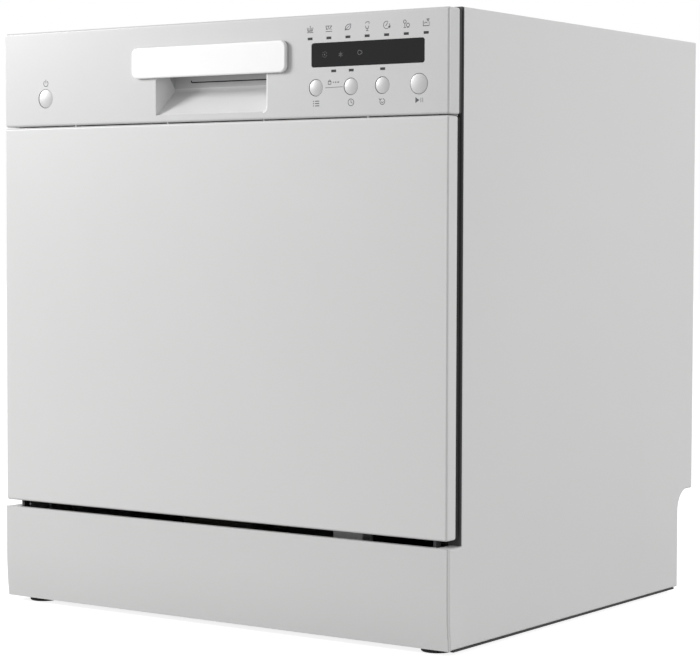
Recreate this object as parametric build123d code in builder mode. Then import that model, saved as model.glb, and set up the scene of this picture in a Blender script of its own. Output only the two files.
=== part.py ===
"""Countertop dishwasher: drop-down door, control panel with grip, tub, two racks, spray arms.

Millimetres. +Z is up, the door faces -Y and +X is the viewer's right. The origin lies on
the floor under the middle of the outer size. A "depth" is a distance behind the door's
front face, which at() turns into the model's y.
"""
import os

from build123d import *

os.makedirs("parts", exist_ok=True)

# ---- overall size ------------------------------------------------------------------
WIDTH = 550.0
DEPTH = 500.0  # door's front face to the cabinet's back edge
HEIGHT = 595.0
HANDLE_PROUD = 4.5
SCREW_HEAD_H = 1.6
FRONT_Y = HANDLE_PROUD - (HANDLE_PROUD + DEPTH + SCREW_HEAD_H) / 2

# ---- clearances --------------------------------------------------------------------
SEAM = 0.3  # between panels that meet
LAP = 0.2  # between lapped sheets
RUN = 0.05  # radial, round a turning pin
WELD_GAP = 0.05  # between wires that cross

# ---- cabinet sheets ----------------------------------------------------------------
SHEET = 1.0
FLANGE = 14.0
FOLD_R = 2.5
TOP_LIP = 6.0  # top sheet's front fold, over the door
TOP_TONGUE = 8.0  # top sheet's joggle under the side flanges
PLINTH_TOP = 100.0
PANEL_BOTTOM = 5.5
NOTCH_DEPTH = 33.3  # connection recess at the back, below NOTCH_TOP
NOTCH_TOP = PLINTH_TOP + 10.0
NOTCH_R = 22.0
BACK_FIELD = 5.0  # how far the back sheet's field stands out
PLINTH_FRONT = 0.3
PLINTH_SHEET = 2.0
PLINTH_TUCK = 3.0
PLINTH_CURVE_TOP = 55.0
PLINTH_LIP = 4.0
PLINTH_EDGE_R = 1.6
TRAY_BOTTOM = 3.5
TRAY_SHEET = 1.8
TRAY_WALL = 34.0
TRAY_RIB = 6.0
TRAY_RIB_PITCH = 90.0
RIB_TOP = TRAY_BOTTOM + TRAY_SHEET + TRAY_RIB
FOOT_R = 15.0
FOOT_STEM_R = 5.0
FOOT_INSET_X = 29.0
FOOT_INSET_D = 28.0
SCREW_R = 4.0
SCREW_SLOT = 0.9

# ---- door --------------------------------------------------------------------------
DOOR_MARGIN = 1.0
DOOR_WIDTH = WIDTH - 2 * DOOR_MARGIN
DOOR_GAP = 7.0  # above the plinth
DOOR_BOTTOM = PLINTH_TOP + DOOR_GAP
FASCIA_H = 99.0
SPLIT_Z = HEIGHT - FASCIA_H
SPLIT_GAP = 1.2
CONTROL_MARGIN = 1.5  # control panel's top below the cabinet's
CONTROL_TOP = HEIGHT - CONTROL_MARGIN
CONTROL_SIDE = 21.0
DOOR_STEP = 2.5  # the door's side walls are this much shallower
DOOR_SIDE = CONTROL_SIDE - DOOR_STEP
DOOR_EDGE_R = 2.5
DOOR_SHEET = 1.0
CONTROL_WALL = 2.5
CABINET_GAP = 2.2  # behind the control panel's side walls
CABINET_FRONT = CONTROL_SIDE + CABINET_GAP

# ---- hinge -------------------------------------------------------------------------
HINGE_BACK = 5.5  # pin to the door's back edge
HINGE_D = DOOR_SIDE - HINGE_BACK
HINGE_RISE = 8.0
HINGE_Z = DOOR_BOTTOM + HINGE_RISE
HINGE_PIN_R = 3.0
HINGE_INSET = 20.0
HINGE_ARM_X = WIDTH / 2 - HINGE_INSET
HINGE_ARM_T = 3.0
HINGE_EYE_R = 6.0
HINGE_ARM_H = 90.0
HINGE_ARM_TOP = HINGE_Z + HINGE_ARM_H
LEVER_L = 26.0
LEVER_BACK = 3.0  # the lever's tip lies this far before the pin
LEVER_EYE_R = 3.0
BRACKET_T = 2.5
BRACKET_GAP = 1.5
SPRING_R = 6.0
SPRING_FOOT_Z = 24.0
SPRING_HOOK_R = 1.2

# ---- tub ---------------------------------------------------------------------------
TUB_SIDE_ROOM = 25.0  # from the cabinet's side to the tub
TUB_OVER_SEAM = 2.0  # tub's mouth above the door's seam
TUB_BACK_ROOM = 45.0
TUB_SETBACK = 2.8
TUB_RISE = 25.0  # tub floor above the plinth's top
TUB_T = 0.8
TUB_HALF = WIDTH / 2 - TUB_SIDE_ROOM
TUB_FLOOR = PLINTH_TOP + TUB_RISE
TUB_TOP = SPLIT_Z + TUB_OVER_SEAM
TUB_FRONT = CABINET_FRONT + TUB_SETBACK
TUB_BACK = DEPTH - TUB_BACK_ROOM
TUB_R = 22.0
TUB_FLANGE = 12.0
TUB_SKIRT = 8.0  # how far the tub's walls lap down over its floor
BEAD_W = 16.0
BEAD_PITCH = 150.0
BEAD_H = 4.0
BEAD_END = 56.0  # wall left above and below a bead
SEAL_W = 6.0
SEAL_GAP = 0.1
SEAL_DROP = 3.5  # seal's lower edge below the tub floor
POOL_Z = TUB_FLOOR + 3.0
FLOOR_T = 10.0
FLOOR_UNDER = POOL_Z - FLOOR_T
LEDGE_H = 18.0  # wheel track above the pool
LEDGE_Z = POOL_Z + LEDGE_H
SILL_X = 126.0
SILL_W = 34.0
SILL_T = 2.0

# ---- door liner and dispenser ------------------------------------------------------
LINER_T = 0.8
LINER_GAP = 0.2
LINER_MARGIN = 3.0
LINER_HALF = DOOR_WIDTH / 2 - LINER_MARGIN
LINER_BOTTOM = DOOR_BOTTOM + 3.5
LINER_LAP = 16.0  # up behind the control panel
LINER_TOP = SPLIT_Z + LINER_LAP
LINER_DRAW = 26.3
BULGE_D = DOOR_SIDE + LINER_GAP + LINER_DRAW
LEDGE_FRONT = BULGE_D + 2.0
BULGE_ROOM = 15.0
BULGE_HALF = TUB_HALF - BULGE_ROOM
BULGE_BOTTOM = TUB_FLOOR + 5.0
BULGE_TOP = TUB_TOP - 28.0
BULGE_R = 20.0
BULGE_TAPER = 14.0
LINER_BEAD_W = 18.0
LINER_BEAD_H = 1.6
LINER_BEAD_SIDE = 60.0  # field left beside a bead's end
DISP_X = 35.0
DISP_Z = (BULGE_BOTTOM + BULGE_TOP) / 2 + 30.0
DISP_W = 150.0
DISP_H = 84.0
DISP_PROUD = 5.0
DISP_BODY = 24.0
DISP_EDGE = 10.0  # bezel beside the cup and the cap
CUP_W = 56.0
CUP_H = 52.0
CUP_LIP = 4.0
CUP_DEEP = 16.0
LID_T = 2.4
RINSE_R = 17.0
RINSE_LIP = 3.0

# ---- control panel -----------------------------------------------------------------
GRIP_LEFT = -70.0
GRIP_RIGHT = 67.5
GRIP_BOTTOM = SPLIT_Z + 8.0
GRIP_BREAK_Z = GRIP_BOTTOM + 25.0
GRIP_DEEP = 30.0
GRIP_R = 6.0
HANDLE_LEFT = -98.0
HANDLE_RIGHT = 93.0
HANDLE_DROP = 24.0
HANDLE_TOP = HEIGHT - HANDLE_DROP
HANDLE_H = 30.5
HANDLE_BOTTOM = HANDLE_TOP - HANDLE_H
HANDLE_R = 7.0
HANDLE_T = 3.6
HANDLE_EDGE_R = 1.6
HANDLE_LEVER = 60.0  # half length of the plate's lever and hinge barrel
HANDLE_PIN_R = 1.6
HANDLE_EYE_R = 3.2
HANDLE_PIVOT_D = 3.6
HANDLE_PIVOT_Z = HANDLE_TOP - 4.4
GRIP_TOP = HANDLE_PIVOT_Z + HANDLE_EYE_R + 0.4
WINDOW_SIDE = 27.7  # from the cabinet's right side
WINDOW_W = 126.8
WINDOW_RIGHT = WIDTH / 2 - WINDOW_SIDE
WINDOW_LEFT = WINDOW_RIGHT - WINDOW_W
WINDOW_X = (WINDOW_LEFT + WINDOW_RIGHT) / 2
WINDOW_DROP = 28.5
WINDOW_H = 22.5
WINDOW_Z = HEIGHT - WINDOW_DROP - WINDOW_H / 2
WINDOW_R = 2.5
WINDOW_T = 2.0
WINDOW_SINK = 0.3
WINDOW_LIP = 2.0
BUTTON_GAP = 0.4
BUTTON_T = 4.0
BUTTON_COLLAR = 1.6
BUTTON_RISE = 28.8
BUTTON_Z = SPLIT_Z + BUTTON_RISE
POWER_INSET = 58.0
POWER_X = POWER_INSET - WIDTH / 2
POWER_R = 9.4
PROGRAM_X = WINDOW_LEFT + 5.1
DELAY_X = WINDOW_LEFT + 45.2
HALF_X = WINDOW_LEFT + 80.5
START_X = WINDOW_LEFT + 120.9
SMALL_BUTTON_R = 7.7
START_R = 9.3
LED_Z = HEIGHT - 24.1
LED_W = 5.4
LED_H = 2.3
LED_FIRST_X = WINDOW_LEFT - 1.7
LED_PITCH = 21.7
LED_COUNT = 7
LOWER_LED_Z = BUTTON_Z + 15.1
LOWER_LEDS = (25.6, 45.6, 80.9)  # from the window's left edge
BOARD_D = 12.0
BOARD_T = 1.6
BOARD_W = 150.0
BOARD_H = 74.0
BOARD_Z = SPLIT_Z + 47.0
SMALL_BOARD_W = 34.0
SMALL_BOARD_H = 26.0
SWITCH_W = 6.0
BOSS_R = 2.4
BOSS_INSET = 4.0
COVER_T = 2.0

# ---- latch -------------------------------------------------------------------------
HOOK_Z = HEIGHT - 18.0
HOOK_D = GRIP_DEEP + 9.0
HOOK_T = 6.0
HOOK_PIN_R = 2.5
HOOK_SLOT = 9.0
HOUSING_HALF = 16.0
STRIKE_D = HOOK_D + 15.0
STRIKE_HALF = 22.0
STRIKE_T = 2.0
COVER_BULGE_HALF = 110.0
COVER_BULGE_D = HOOK_D + 8.0

# ---- wash system under and in the tub ----------------------------------------------
ARM_D = (BULGE_D + TUB_BACK) / 2
SUMP_R = 92.0
SUMP_DROP = 8.0
SUMP_WALL = 3.0
SUMP_DEEP = 52.0
SUMP_LOW = FLOOR_UNDER - SUMP_DEEP
HUB_R = 9.0
STUB_X = SUMP_R - 10.0  # where the pump's pipe meets the sump's
STUB_R = 12.0
STUB_Z = SUMP_LOW + 8.0
DRAIN_STUB_R = 6.0
DRAIN_STUB_Z = SUMP_LOW + 14.0
FILTER_CUP_X = SUMP_R - 44.0
FILTER_CUP_R = 26.0
FILTER_CUP_LOW = 34.0
FILTER_CUP_HIGH = 8.0
PUMP_R = 38.0
PUMP_MOTOR_R = 32.0
PUMP_MOTOR_L = 78.0
VOLUTE_L = 30.0
PIPE_L = 28.0  # pump's pipe from the stub
DRAIN_PUMP_X = SUMP_R + 2.0
DRAIN_STUB_END = DRAIN_PUMP_X - WELD_GAP
DRAIN_PUMP_Z = SUMP_LOW + 18.0
DRAIN_PUMP_R = 22.0
DRAIN_PUMP_L = 62.0
DRAIN_MOTOR_R = 16.0
DRAIN_MOTOR_L = 30.0
SALT_R = 24.0
SALT_NECK = 4.0
SALT_X = 100.0 - TUB_HALF
SOFTENER_LOW = 42.0
SOFTENER_TOP = FLOOR_UNDER - 6.0
SOFTENER_FRONT = ARM_D + PUMP_R + 4.0
SALT_D = SOFTENER_FRONT + 53.0
SPRAY_T = 10.0
SPRAY_HUB_R = 24.0
SPRAY_TIP_R = 12.0
SWEEP_ROOM = 19.0
UPPER_SWEEP_ROOM = 40.0
LOWER_SPRAY_L = 2 * (TUB_BACK - ARM_D - SWEEP_ROOM)
UPPER_SPRAY_L = 2 * (TUB_BACK - ARM_D - UPPER_SWEEP_ROOM)
LOWER_SPRAY_Z = POOL_Z + 26.0

# ---- connections in the recess -----------------------------------------------------
CONNECT_D = DEPTH - NOTCH_DEPTH - SHEET - LAP  # the connection plate's face
PORT_Z = 62.0
PORT_INSET = 4.0
PORT_END = DEPTH - PORT_INSET
PORT_SIDE = 70.0
INLET_X = PORT_SIDE - WIDTH / 2
INLET_R = 13.2
INLET_BODY_R = 16.0
VALVE_HALF = 14.0
VALVE_REACH = 44.0
SOFTENER_BACK = CONNECT_D - VALVE_REACH - 10.5
DRAIN_X = INLET_X + 65.0
DRAIN_R = 9.5
DRAIN_BODY_R = 14.0
DRAIN_BORE_R = 6.0
GLAND_X = WIDTH / 2 - PORT_SIDE
GLAND_R = 9.0
GLAND_BORE_R = 4.0

# ---- racks -------------------------------------------------------------------------
WIRE_R = 1.75
RIM_R = 2.5
RACK_SIDE_ROOM = 35.0
RACK_FRONT_ROOM = 39.0
RACK_BACK_ROOM = 30.0
RACK_HALF = TUB_HALF - RACK_SIDE_ROOM
RACK_FRONT = BULGE_D + RACK_FRONT_ROOM
RACK_BACK = TUB_BACK - RACK_BACK_ROOM
RACK_EDGE = 24.0  # outermost lengthwise wire from the rack's side
UPPER_TOP = TUB_TOP - 58.0
UPPER_H = 90.0
UPPER_Z = UPPER_TOP - UPPER_H
UPPER_SPRAY_Z = UPPER_Z - 28.0
DOCK_Z = UPPER_SPRAY_Z + 15.0
DUCT_R = 8.0
LOWER_TOP = UPPER_SPRAY_Z - 26.0
LOWER_Z = LEDGE_Z + 33.0
TINE_H = 52.0
WHEEL_R = 15.0
WHEEL_W = 8.0
WHEEL_X = RACK_HALF + 12.0
LEDGE_X = WHEEL_X - 5.0
WHEEL_FRONT = ARM_D - 45.0
WHEEL_BACK = RACK_BACK - 22.0
AXLE_R = 3.0
AXLE_Z = LEDGE_Z + WHEEL_R + 0.1
RAIL_X = RACK_HALF + 14.0
RAIL_W = 10.0
RAIL_H = 20.0
RAIL_Z = UPPER_Z + 42.0
RAIL_T = 1.2
SHOE_CLEAR = 0.5
SHOE_FRONT = TUB_FRONT + 30.0
SHOE_L = 94.0
BASKET_W = 72.0
BASKET_L = 160.0
BASKET_X = RACK_HALF - BASKET_W / 2 - 11.0
BASKET_D = RACK_FRONT + BASKET_L / 2 + 26.0
BASKET_Z = LOWER_Z + 3 * WIRE_R + 1.0
BASKET_DROP = 10.75  # basket's rim below the rack's
BASKET_H = LOWER_TOP - BASKET_DROP - BASKET_Z
BASKET_WALL = 2.0
BASKET_R = 8.0
BASKET_FLARE = 2.0
BASKET_GRIP_W = 56.0
BASKET_GRIP_H = 16.0


def at(depth):
    """Model y of a distance behind the door's front face."""
    return FRONT_Y + depth


def block(x0, x1, d0, d1, z0, z1, mode=Mode.ADD):
    """Box between two corners, its y given as depths."""
    with Locations(((x0 + x1) / 2, at((d0 + d1) / 2), (z0 + z1) / 2)):
        Box(x1 - x0, d1 - d0, z1 - z0, mode=mode)


def across(depth):
    """Plane facing the viewer at a depth: sketch x is X, sketch y is Z, normal -Y."""
    return Plane(origin=(0, at(depth), 0), x_dir=(1, 0, 0), z_dir=(0, -1, 0))


def sideways(x):
    """Plane facing +X: sketch x is Y, sketch y is Z."""
    return Plane(origin=(x, 0, 0), x_dir=(0, 1, 0), z_dir=(1, 0, 0))


def save(part, name):
    part.label = name
    export_step(part, "parts/" + name + ".step")


# ================================= cabinet ==========================================
def cabinet_side(name, side):
    """Side sheet with a flange folded in all round its L-shaped, notched outline."""
    seam_d = PLINTH_FRONT + PLINTH_SHEET + SEAM
    with BuildPart() as panel:
        with BuildSketch(sideways(-WIDTH / 2)):
            with BuildLine():
                Polyline(
                    (at(seam_d), PLINTH_CURVE_TOP), (at(seam_d), PLINTH_TOP),
                    (at(CABINET_FRONT), PLINTH_TOP), (at(CABINET_FRONT), HEIGHT),
                    (at(DEPTH), HEIGHT), (at(DEPTH), NOTCH_TOP),
                    (at(DEPTH - NOTCH_DEPTH), NOTCH_TOP),
                    (at(DEPTH - NOTCH_DEPTH), PANEL_BOTTOM),
                    (at(seam_d + PLINTH_TUCK), PANEL_BOTTOM),
                )
                TangentArc(
                    (at(seam_d), PLINTH_CURVE_TOP), (at(seam_d + PLINTH_TUCK), PANEL_BOTTOM),
                    tangent=(0, -1),
                )
            make_face()
            ledge = [v for v in vertices() if abs(v.Y - NOTCH_TOP) < 0.1]
            corner = sorted(ledge, key=lambda v: v.X)[0]
            fillet(corner, radius=NOTCH_R)
        extrude(amount=FLANGE)
        outer = faces().sort_by(Axis.X)[0]
        fillet(outer.edges(), radius=FOLD_R)
        offset(amount=-SHEET, openings=faces().sort_by(Axis.X)[-1])
        if side > 0:
            mirror(about=Plane.YZ, mode=Mode.REPLACE)
    save(panel.part, name)


def top_panel():
    """Top sheet: joggled under the side flanges, folded down at the front and back."""
    edge = WIDTH / 2 - FLANGE - SEAM
    tongue = edge + TOP_TONGUE
    under = HEIGHT - SHEET - LAP
    half = [
        (0, HEIGHT), (edge, HEIGHT), (edge, under), (tongue, under),
        (tongue, under - SHEET), (edge - SHEET, under - SHEET),
        (edge - SHEET, HEIGHT - SHEET), (0, HEIGHT - SHEET),
    ]
    with BuildPart() as panel:
        with BuildSketch(across(CABINET_FRONT + SHEET)):
            with BuildLine():
                Polyline(*half, close=True)
            make_face()
            mirror(about=Plane.YZ)
        extrude(amount=-(DEPTH - CABINET_FRONT - 2 * SHEET))
        block(-edge, edge, CABINET_FRONT, CABINET_FRONT + SHEET, HEIGHT - TOP_LIP, HEIGHT)
        block(-edge, edge, DEPTH - SHEET, DEPTH, HEIGHT - FLANGE, HEIGHT)
        ends = edges().filter_by(Axis.X).group_by(Axis.Z)[-1]
        fillet([e for e in ends if e.length > WIDTH / 2], radius=SHEET * 0.9)
    save(panel.part, "top_panel")


def back_panel():
    """Back sheet inside the flanges, stiffened by a raised field."""
    half = WIDTH / 2 - SHEET - 2 * SEAM - FOLD_R - 0.5
    front = DEPTH - SHEET - LAP - SHEET
    low = NOTCH_TOP + 2 * SHEET + 3 * LAP + 2.4
    high = HEIGHT - SHEET - FOLD_R - 0.5
    border = 47.0
    with BuildPart() as panel:
        with BuildSketch(across(front + SHEET)):
            with Locations((0, (low + high) / 2)):
                RectangleRounded(2 * half, high - low, 4.0)
        extrude(amount=SHEET)
        with BuildSketch(across(front)):
            with Locations((0, (low + high) / 2)):
                RectangleRounded(2 * (half - border), high - low - 2 * border, 18.0)
        extrude(amount=BACK_FIELD, taper=30.0)
        with BuildSketch(across(front + SHEET)):
            with Locations((0, (low + high) / 2)):
                RectangleRounded(2 * (half - border - SHEET), high - low - 2 * (border + SHEET), 17.0)
        extrude(amount=BACK_FIELD, taper=30.0, mode=Mode.SUBTRACT)
    save(panel.part, "back_panel")


def connection_plate():
    """Bent sheet behind the notch: it carries the water and power connections."""
    back = CONNECT_D
    half = WIDTH / 2 - SHEET - 3 * SEAM - FOLD_R - 0.5
    inner_r = NOTCH_R + SHEET + LAP
    foot_z = PANEL_BOTTOM + SHEET + LAP
    with BuildPart() as plate:
        with BuildSketch(sideways(-half)):
            with BuildLine():
                low = Line((at(back), foot_z), (at(back), NOTCH_TOP - NOTCH_R))
                bend = TangentArc(low @ 1, (at(back + inner_r), NOTCH_TOP + SHEET + LAP),
                                  tangent=(0, 1))
                ledge = Line(bend @ 1, (at(DEPTH - 2 * SHEET - 2 * LAP), NOTCH_TOP + SHEET + LAP))
                Line(ledge @ 1, (at(DEPTH - 2 * SHEET - 2 * LAP), NOTCH_TOP + 2 * SHEET + LAP))
                top = Line((at(DEPTH - 2 * SHEET - 2 * LAP), NOTCH_TOP + 2 * SHEET + LAP),
                           (at(back + inner_r), NOTCH_TOP + 2 * SHEET + LAP))
                outer = TangentArc(top @ 1, (at(back - SHEET), NOTCH_TOP - NOTCH_R),
                                   tangent=(-1, 0))
                Polyline(outer @ 1, (at(back - SHEET), foot_z), low @ 0)
            make_face()
        extrude(amount=2 * half)
        with BuildSketch(across(back)):
            with Locations((INLET_X, PORT_Z)):
                Circle(INLET_BODY_R + SEAM)
            with Locations((DRAIN_X, PORT_Z)):
                Circle(DRAIN_BODY_R + SEAM)
            with Locations((GLAND_X, PORT_Z)):
                Circle(GLAND_R + SEAM)
        extrude(amount=-SHEET * 2, both=True, mode=Mode.SUBTRACT)
    save(plate.part, "connection_plate")


def plinth():
    """Front plinth: flush with the door, its foot tucked back in a long curve."""
    face = PLINTH_FRONT
    back = face + PLINTH_SHEET
    lip_half = WIDTH / 2 - FLANGE - 2 * SEAM
    with BuildPart() as front:
        with BuildSketch(sideways(-WIDTH / 2)):
            with BuildLine():
                Line((at(face), PLINTH_TOP), (at(face), PLINTH_CURVE_TOP))
                TangentArc((at(face), PLINTH_CURVE_TOP), (at(face + PLINTH_TUCK), PANEL_BOTTOM),
                           tangent=(0, -1))
                Line((at(face + PLINTH_TUCK), PANEL_BOTTOM), (at(back + PLINTH_TUCK), PANEL_BOTTOM))
                TangentArc((at(back), PLINTH_CURVE_TOP), (at(back + PLINTH_TUCK), PANEL_BOTTOM),
                           tangent=(0, -1))
                Polyline((at(back), PLINTH_CURVE_TOP), (at(back), PLINTH_TOP), (at(face), PLINTH_TOP))
            make_face()
        extrude(amount=WIDTH)
        block(-lip_half, lip_half, back, back + PLINTH_LIP, PLINTH_TOP - PLINTH_SHEET, PLINTH_TOP)
        block(-lip_half, lip_half, back + PLINTH_TUCK - 0.5, back + PLINTH_TUCK + 12.0,
              PANEL_BOTTOM, PANEL_BOTTOM + PLINTH_SHEET)
        corners = faces().filter_by(Axis.Y).sort_by(Axis.Y)[0].edges().filter_by(Axis.Z)
        fillet(corners, radius=PLINTH_EDGE_R)
    save(front.part, "plinth")


def base_tray():
    """Drip tray under the machine: floor plate with a raised wall and ribs."""
    half = WIDTH / 2 - SHEET
    wall_half = WIDTH / 2 - FLANGE - 3.0
    front = PLINTH_FRONT + PLINTH_SHEET + PLINTH_TUCK + 16.0
    back = DEPTH - NOTCH_DEPTH - 7.0
    with BuildPart() as tray:
        block(-wall_half, wall_half, front, back - 8.0, TRAY_BOTTOM, TRAY_BOTTOM + TRAY_WALL)
        fillet(edges().filter_by(Axis.Z), radius=12.0)
        offset(amount=-TRAY_SHEET, openings=faces().sort_by(Axis.Z)[-1])
        block(-half, half, front - 9.0, back, TRAY_BOTTOM, TRAY_BOTTOM + TRAY_SHEET)
        with BuildSketch(Plane.XY.offset(TRAY_BOTTOM + TRAY_SHEET)):
            with GridLocations(TRAY_RIB_PITCH, 1.0, 5, 1):
                Rectangle(TRAY_SHEET, back - front - 14.0)
            with Locations((0, at((front + back) / 2 - 4.0))):
                Rectangle(2 * wall_half - 4.0, TRAY_SHEET)
        extrude(amount=TRAY_RIB)
        with BuildSketch(Plane.XY.offset(TRAY_BOTTOM)):
            with Locations(*foot_spots()):
                Circle(FOOT_STEM_R + SEAM)
        extrude(amount=TRAY_SHEET + 8.0, mode=Mode.SUBTRACT)
    save(tray.part, "base_tray")


def foot_spots():
    x = WIDTH / 2 - FOOT_INSET_X
    return [(s * x, at(d)) for s in (-1, 1)
            for d in (FOOT_INSET_D, DEPTH - NOTCH_DEPTH - FOOT_INSET_D)]


def feet():
    """Rubber feet, each a stepped disc pushed through the tray by its stem."""
    with BuildPart() as pads:
        with BuildSketch(Plane.XY):
            with Locations(*foot_spots()):
                Circle(FOOT_R)
        extrude(amount=TRAY_BOTTOM)
        chamfer(edges().group_by(Axis.Z)[0], length=0.8)
        with BuildSketch(Plane.XY.offset(TRAY_BOTTOM)):
            with Locations(*foot_spots()):
                Circle(FOOT_STEM_R)
        extrude(amount=TRAY_SHEET + 3.0)
    save(pads.part, "feet")


def screw_spots():
    x = WIDTH / 2 - FLANGE / 2
    rows = (NOTCH_TOP + 30.0, (NOTCH_TOP + HEIGHT) / 2, HEIGHT - 40.0)
    return [(s * x, z) for s in (-1, 1) for z in rows]


def panel_screws():
    """Six screws that hold the back sheet to the side flanges."""
    with BuildPart() as screws:
        with BuildSketch(across(DEPTH)):
            with Locations(*screw_spots()):
                Circle(SCREW_R)
        extrude(amount=-SCREW_HEAD_H)
        with BuildSketch(across(DEPTH + SCREW_HEAD_H)):
            with Locations(*screw_spots()):
                Rectangle(1.1 * SCREW_R, SCREW_SLOT)
                Rectangle(SCREW_SLOT, 1.1 * SCREW_R)
        extrude(amount=SCREW_SLOT, mode=Mode.SUBTRACT)
    save(screws.part, "panel_screws")


# ================================= door =============================================
def hinge_slot():
    """Room for the hinge in the door's lower edge."""
    for side in (-1, 1):
        x0 = side * (HINGE_ARM_X - BRACKET_GAP - BRACKET_T - 1.5)
        x1 = side * (HINGE_ARM_X + HINGE_ARM_T + 1.5)
        block(min(x0, x1), max(x0, x1), HINGE_D - HINGE_EYE_R - 2.0, CONTROL_SIDE + 9.0,
              DOOR_BOTTOM - 5.0, HINGE_Z + HINGE_EYE_R + 1.6, mode=Mode.SUBTRACT)


def door_panel():
    """Door skin: a pan with rounded edges, open to the tub side."""
    top = SPLIT_Z - SPLIT_GAP / 2
    with BuildPart() as skin:
        block(-DOOR_WIDTH / 2, DOOR_WIDTH / 2, 0, DOOR_SIDE, DOOR_BOTTOM, top)
        fillet(edges().filter_by(Axis.Y), radius=DOOR_EDGE_R)
        fillet(faces().sort_by(Axis.Y)[0].edges(), radius=DOOR_EDGE_R * 0.9)
        offset(amount=-DOOR_SHEET, openings=faces().sort_by(Axis.Y)[-1])
        hinge_slot()
    save(skin.part, "door_panel")


def grip_profile(deepen):
    """Side outline of the finger scoop, from the panel's face up to behind the handle."""
    low = GRIP_BOTTOM - deepen
    return [
        (at(-1.0), low), (at(2.0), low), (at(GRIP_DEEP + deepen), GRIP_BREAK_Z - deepen * 0.4),
        (at(GRIP_DEEP + deepen), GRIP_TOP + deepen), (at(-1.0), GRIP_TOP + deepen),
    ]


def control_panel():
    """Moulded fascia with the scooped grip, window, button and lamp openings."""
    bottom = SPLIT_Z + SPLIT_GAP / 2
    with BuildPart() as fascia:
        block(-DOOR_WIDTH / 2, DOOR_WIDTH / 2, 0, CONTROL_SIDE, bottom, CONTROL_TOP)
        fillet(edges().filter_by(Axis.Y), radius=DOOR_EDGE_R)
        fillet(faces().sort_by(Axis.Y)[0].edges(), radius=DOOR_EDGE_R * 0.9)
        wall = CONTROL_WALL
        block(wall - DOOR_WIDTH / 2, DOOR_WIDTH / 2 - wall, wall, CONTROL_SIDE + 1.0,
              bottom + wall, CONTROL_TOP - wall, mode=Mode.SUBTRACT)
        with BuildSketch(sideways(GRIP_LEFT - CONTROL_WALL)):
            with BuildLine():
                Polyline(*grip_profile(CONTROL_WALL), close=True)
            make_face()
        extrude(amount=GRIP_RIGHT - GRIP_LEFT + 2 * CONTROL_WALL)
        block(GRIP_LEFT - 10, GRIP_RIGHT + 10, -2.0, 0, GRIP_BOTTOM - 9, GRIP_TOP + 9,
              mode=Mode.SUBTRACT)
        block(-LINER_HALF - SEAM, LINER_HALF + SEAM, DOOR_SIDE, CONTROL_SIDE + 1.0,
              bottom - 1.0, LINER_TOP + SEAM, mode=Mode.SUBTRACT)
        with BuildSketch(sideways(GRIP_LEFT)):
            with BuildLine():
                Polyline(*grip_profile(0.0), close=True)
            make_face()
            bend = [v for v in vertices() if abs(v.X - at(GRIP_DEEP)) < 0.1
                    or abs(v.Y - at(GRIP_DEEP)) < 0.1]
            fillet(bend, radius=GRIP_R)
        extrude(amount=GRIP_RIGHT - GRIP_LEFT, mode=Mode.SUBTRACT)
        with BuildSketch(across(BOARD_D - WELD_GAP)):
            with Locations(*boss_spots()):
                Circle(BOSS_R)
        extrude(amount=BOARD_D - WELD_GAP - CONTROL_WALL)
        with BuildSketch(across(-1.0)):
            with Locations((WINDOW_X, WINDOW_Z)):
                RectangleRounded(WINDOW_W + 2 * LAP, WINDOW_H + 2 * LAP, WINDOW_R)
            for x, r in button_spots():
                with Locations((x, BUTTON_Z)):
                    Circle(r + BUTTON_GAP)
            with Locations(*lamp_spots()):
                Rectangle(LED_W + LAP, LED_H + LAP)
        extrude(amount=-(CONTROL_WALL + 2.0), mode=Mode.SUBTRACT)
    save(fascia.part, "control_panel")


def button_spots():
    return [(POWER_X, POWER_R), (PROGRAM_X, SMALL_BUTTON_R), (DELAY_X, SMALL_BUTTON_R),
            (HALF_X, SMALL_BUTTON_R), (START_X, START_R)]


def lamp_spots():
    row = [(LED_FIRST_X + i * LED_PITCH, LED_Z) for i in range(LED_COUNT)]
    return row + [(WINDOW_LEFT + x, LOWER_LED_Z) for x in LOWER_LEDS]


def boss_spots():
    """Posts behind the fascia that carry the two boards by their corners."""
    boards = [(WINDOW_X, BOARD_Z, BOARD_W, BOARD_H),
              (POWER_X, BUTTON_Z, SMALL_BOARD_W, SMALL_BOARD_H)]
    return [(x + s * (w / 2 - BOSS_INSET), z + t * (h / 2 - BOSS_INSET))
            for x, z, w, h in boards for s in (-1, 1) for t in (-1, 1)]


def button(name, x, radius, proud, dome):
    """Push button: cap through the fascia, collar behind it."""
    with BuildPart() as cap:
        with BuildSketch(across(CONTROL_WALL + BUTTON_T)):
            with Locations((x, BUTTON_Z)):
                Circle(radius)
        extrude(amount=CONTROL_WALL + BUTTON_T + proud)
        rim = faces().sort_by(Axis.Y)[0].edges()
        fillet(rim, radius=dome)
        with BuildSketch(across(CONTROL_WALL + BUTTON_T)):
            with Locations((x, BUTTON_Z)):
                Circle(radius + BUTTON_COLLAR)
        extrude(amount=BUTTON_T - LAP - 2.0)
    save(cap.part, name)


def display_window():
    """Dark display window, set just under the fascia's face."""
    with BuildPart() as pane:
        with BuildSketch(across(WINDOW_SINK)):
            with Locations((WINDOW_X, WINDOW_Z)):
                RectangleRounded(WINDOW_W, WINDOW_H, WINDOW_R)
        extrude(amount=-(CONTROL_WALL - WINDOW_SINK))
        with BuildSketch(across(CONTROL_WALL)):
            with Locations((WINDOW_X, WINDOW_Z)):
                RectangleRounded(WINDOW_W + 2 * WINDOW_LIP, WINDOW_H + 2 * WINDOW_LIP, WINDOW_R + 1.0)
        extrude(amount=-WINDOW_T)
    save(pane.part, "display_window")


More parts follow.
